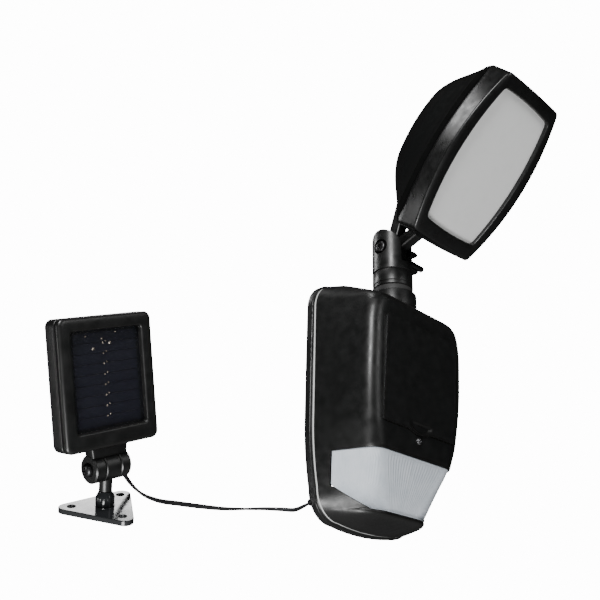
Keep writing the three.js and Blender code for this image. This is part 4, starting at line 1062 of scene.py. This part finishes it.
def add_panel_tray():
    """The panel's hollow back, the neck under it and the two cheeks of its knuckle."""
    outer = [panel_ring(P_BACK + y, inset) for y, inset in (
        (-11, 0.7), (-10.6, 0.3), (-9.9, 0), (-2.4, 0.2), (-1.3, 0.6), (-0.6, 1.2), (-0.15, 2.3),
        (0, 3.6))]
    tray = skin("panel_back_tray", outer, PANEL)
    carve(tray, skin("inner", [panel_ring(P_BACK + y, 2.2) for y in (-14, -2)], PANEL))
    carve(tray, prism("lead_hole", "y", disc(*LEAD_HOLE), -7.4, 2, PANEL))
    dress(tray, "housing", "panel_tray", bevel=0.3, segments=2, angle=50)
    neck_rings = []
    for z, half, front, back in (
            (2, 12.5, -5.4, 3.2), (8, 12.5, -5.4, 3.2), (11.5, 12.9, -5.6, 3.6), (14.2, 14.2, -5.6, 5)):
        neck_rings.append([(x, y, z) for x, y in rounded(-half, half, front, back, 1.4, 5)])
    dress(skin("panel_neck", neck_rings, PANEL), "housing")
    r, low, high, bore = KNUCKLE_R, LUG_START, LUG_END, KNUCKLE_BORE_R
    right = [(bore, low), (r - 0.6, low), (r, low + 0.6), (r, high - 0.8), (r - 0.8, high), (bore, high)]
    left = [(radius, -x) for radius, x in reversed(right)]
    for name, cheek in (("panel_cheek_left", left), ("panel_cheek_right", right)):
        dress(turned(name, "x", cheek, PANEL, 64), "housing")


def add_cells():
    """Nine strips of silicon on a dark sheet, joined down the middle by pairs of soldered tabs."""
    sheet = skin("cell_sheet", [opening_ring(y, SHEET_GROW, 1, 3) for y in (-5.6, -6.1)], PANEL)
    dress(sheet, "housing")
    pitch = (O_TOP - O_FOOT - 2 * STRIP_MARGIN) / STRIPS
    cells, dots = None, []
    for k in range(STRIPS):
        foot = O_FOOT + STRIP_MARGIN + k * pitch
        outline = rounded(-STRIP_HALF, STRIP_HALF, foot + STRIP_GAP, foot + pitch - STRIP_GAP, 0.3, 2)
        cells = join_meshes(cells, prism("cell_strips", "y", outline, 6, 6.4, PANEL))
        if k < STRIPS - 1:
            dots += [(side * 1 + TAB_SHIFT, foot + pitch + side * 0.5, TAB_R) for side in (-1, 1)]
    dress(cells, "housing", "solar_cells", look="solar_cell", bevel=0.08, segments=1)
    tabs = None
    for x, z, r in dots + SPOTS:
        blob = [(0, 6.95), (r * 0.5, 6.88), (r * 0.85, 6.65), (r, 6.35), (0, 6.35)]
        tabs = join_meshes(tabs, turned("solder_tabs", "y", blob, PANEL @ move(x, 0, z), 16))
    dress(tabs, "housing", look="solder")


FOOT_R, FOOT_CORNER, FOOT_THICK, FOOT_TURN = 22.3, 5.5, 3.4, -50
FOOT_HOLE_AT, FOOT_HOLE_R, FOOT_SINK_R = 20, 1.8, 3.4
COLLAR_SIDES, COLLAR_TOP, FLUTES, FLUTE_DEPTH = 96, 13, 10, 0.32
TONGUE_HALF, TONGUE_EDGE = 5.2, 0.5


def add_foot():
    """The three-cornered foot with its countersunk holes."""
    outline, centres = [], []
    for k in range(3):
        a = math.radians(FOOT_TURN + 120 * k)
        c, s = math.cos(a), math.sin(a)
        centres.append((FOOT_HOLE_AT * c, FOOT_HOLE_AT * s))
        for i in range(13):
            b = a + math.radians(-60 + 120 * i / 12)
            outline.append((FOOT_R * c + FOOT_CORNER * math.cos(b), FOOT_R * s + FOOT_CORNER * math.sin(b)))
    plate = prism("bracket_foot_plate", "z", outline, 0, FOOT_THICK, BRACKET)
    carve(plate, *[prism("hole", "z", disc(FOOT_HOLE_R, 32, u, v), -2, 6, BRACKET) for u, v in centres])
    cone = ((1.7, FOOT_THICK - 1), (FOOT_SINK_R, FOOT_THICK + 0.4))
    sinks = []
    for u, v in centres:
        sinks.append(skin("sink", [[(x, y, w) for x, y in disc(r, 32, u, v)] for r, w in cone], BRACKET))
    carve(plate, *sinks)
    dress(plate, "bracket", "bracket_base", look="gloss_black", bevel=0.5, segments=3, angle=45)


def collar_ring(radius, height):
    """A ring round the collar, fluted where the fingers grip it."""
    ring = []
    for k in range(COLLAR_SIDES):
        a = 2 * math.pi * k / COLLAR_SIDES
        flute = FLUTE_DEPTH * max(0, math.cos(FLUTES * a)) if 4.2 < height < 10 else 0
        ring.append(((radius - flute) * math.cos(a), (radius - flute) * math.sin(a), height))
    return ring


def add_bracket():
    """The foot, the hollow post on it and the lock collar round the post."""
    add_foot()
    profile = [(0, 1), (6.2, 1), (6.2, 3.5), (5.2, 3.65), (3.9, 3.7), (3.9, 10), (0, 10)]
    post = turned("bracket_post", "z", profile, BRACKET, 64)
    carve(post, prism("bore", "z", disc(2.85, 32), 3, 20, BRACKET))
    dress(post, "bracket", look="gloss_black", bevel=0.1, segments=1)
    rings = [collar_ring(radius, height) for radius, height in (
        (5.4, 3.9), (5.8, 4.3), (5.8, 9.4), (5.5, 10.2), (4.4, 12.2), (4.2, COLLAR_TOP),
        (2.9, COLLAR_TOP), (2.9, 10.4), (4.3, 10.4), (4.3, 3.9))]
    collar = skin("bracket_lock_collar", rings, BRACKET, loop=True)
    dress(collar, "collar", "bracket_collar", look="gloss_black")


def add_stem():
    """The knuckle's tongue on its neck, with a spigot that turns in the foot's post."""
    drop = PIVOT_UP - COLLAR_TOP - GAP
    profile = tube(KNUCKLE_BORE_R, KNUCKLE_R, -TONGUE_HALF, TONGUE_HALF, TONGUE_EDGE)
    tongue = turned("bracket_stem_ball", "x", profile, KNUCKLE, 64)
    profile = [(0, -drop), (3.8, -drop), (4.1, -drop + 0.4), (4.1, -8), (4.6, -6), (5.2, -3), (0, -3)]
    neck = turned("neck", "z", profile, KNUCKLE, 48)
    spigot = prism("spigot", "z", disc(2.5, 32), 3.6 - PIVOT_UP, -10, KNUCKLE)
    carve(tongue, neck, spigot, how="UNION")
    carve(tongue, prism("bore", "x", disc(KNUCKLE_BORE_R, 32), -20, 20, KNUCKLE))
    dress(tongue, "stem", "bracket_stem", bevel=0.2, segments=2)


def add_knuckle_screw():
    """The cross-headed screw through the panel's cheeks and the stem's tongue."""
    screw = [
        (0, -15.7), (2.6, -15.6), (3.8, -15), (4.2, -14.2), (4.2, -13.1), (2, -13.1), (2, 16.2),
        (1.6, 16.8), (0, 16.8)]
    piece = turned("knuckle_bolt", "x", screw, PANEL, 48)
    carve(piece, *crossed("x", 2.4, 0.5, -20, -14.8, PANEL))
    dress(piece, "housing", "knuckle_screw", look="dark_steel", bevel=0.12, segments=2)


add_sensor_lens()
add_door()
add_door_screw()
add_rings()
add_clevis()
add_bolt()
add_lamp_shell()
add_lamp_bezel()
add_lamp_window()
add_arm()
add_panel_frame()
add_panel_tray()
add_cells()
add_bracket()
add_stem()
add_knuckle_screw()


# ---- carried-over nodes
EDGE_MM, EDGE_ANGLE = 0.25, 40
SHOWN_AS = {entry["node"]: entry["material_slot"] for entry in frame["record"]["subparts"]}


def carry_over():
    """Gives the CAD nodes that nothing replaces their looks and small rounded edges."""
    for name, obj in frame["nodes"].items():
        look = LOOKS[SHOWN_AS[name]]
        for holder in obj.material_slots:
            holder.material = look
        if not obj.material_slots:
            obj.data.materials.append(look)
        round_edges(obj, EDGE_MM, 2, EDGE_ANGLE)


carry_over()


# ---- floor and light
FLOOR_HALF, FLOOR_Z = 3000, -800
LIT, SEEN = 0.025, 14  # the world's strength as a light and to the camera
LIGHTS = [  # name, place, aim, width and height in metres, and watts
    ("key_box", (-1.06, -0.70, 0.56), (-0.05, -0.05, 0.08), 0.11, 0.7, 20),
    ("band_box", (-0.142, 0.002, 0.492), (-0.049, -0.158, 0.23), 0.09, 0.09, 0.24),
    ("rim_box", (-0.27, 0.32, 0.30), (-0.043, -0.096, 0.152), 0.16, 0.16, 0.018),
    ("front_box", (0.10, -1.5, 0.45), (0, -0.05, 0.05), 0.5, 0.9, 5),
    ("side_box", (-1.35, 0.85, -0.30), (-0.3, -0.05, -0.08), 0.3, 0.3, 2.2),
    ("low_box", (-0.54, -0.21, -0.54), (-0.04, -0.03, -0.09), 0.24, 0.24, 4.2),
    ("back_box", (-0.119, 0.272, 0.30), (-0.284, -0.025, -0.132), 0.12, 0.12, 0.45),
]


def add_floor():
    half = FLOOR_HALF
    corners = ((-half, -half), (half, -half), (half, half), (-half, half))
    floor = add_mesh("floor", [(x, y, FLOOR_Z) for x, y in corners], [(0, 1, 2, 3)])
    look = Look("floor", Roughness=0.7)
    look.drive("Base Color", look.blend(look.noise(400), (0.80, 0.80, 0.80), (0.83, 0.83, 0.83)))
    floor.data.materials.append(look.material)


def add_area(name, at, aim, width, height, power):
    data = bpy.data.lights.new(name, "AREA")
    data.shape = "RECTANGLE"
    data.size, data.size_y = width, height
    data.energy = power
    obj = bpy.data.objects.new(name, data)
    obj.location = at
    obj.rotation_euler = (Vector(aim) - Vector(at)).to_track_quat("-Z", "Y").to_euler()
    bpy.context.collection.objects.link(obj)


def add_world():
    """White to the eye, and a dim studio to everything it lights."""
    world = bpy.data.worlds.new("studio")
    world.use_nodes = True
    bpy.context.scene.world = world
    nodes, links = world.node_tree.nodes, world.node_tree.links
    back = next(n for n in nodes if n.type == "BACKGROUND")
    rays = nodes.new("ShaderNodeLightPath")
    level = nodes.new("ShaderNodeMapRange")
    level.inputs["To Min"].default_value = LIT
    level.inputs["To Max"].default_value = SEEN
    links.new(rays.outputs["Is Camera Ray"], level.inputs["Value"])
    links.new(level.outputs["Result"], back.inputs["Strength"])
    back.inputs["Color"].default_value = (1, 1, 1, 1)


add_floor()
add_world()
for light in LIGHTS:
    add_area(*light)
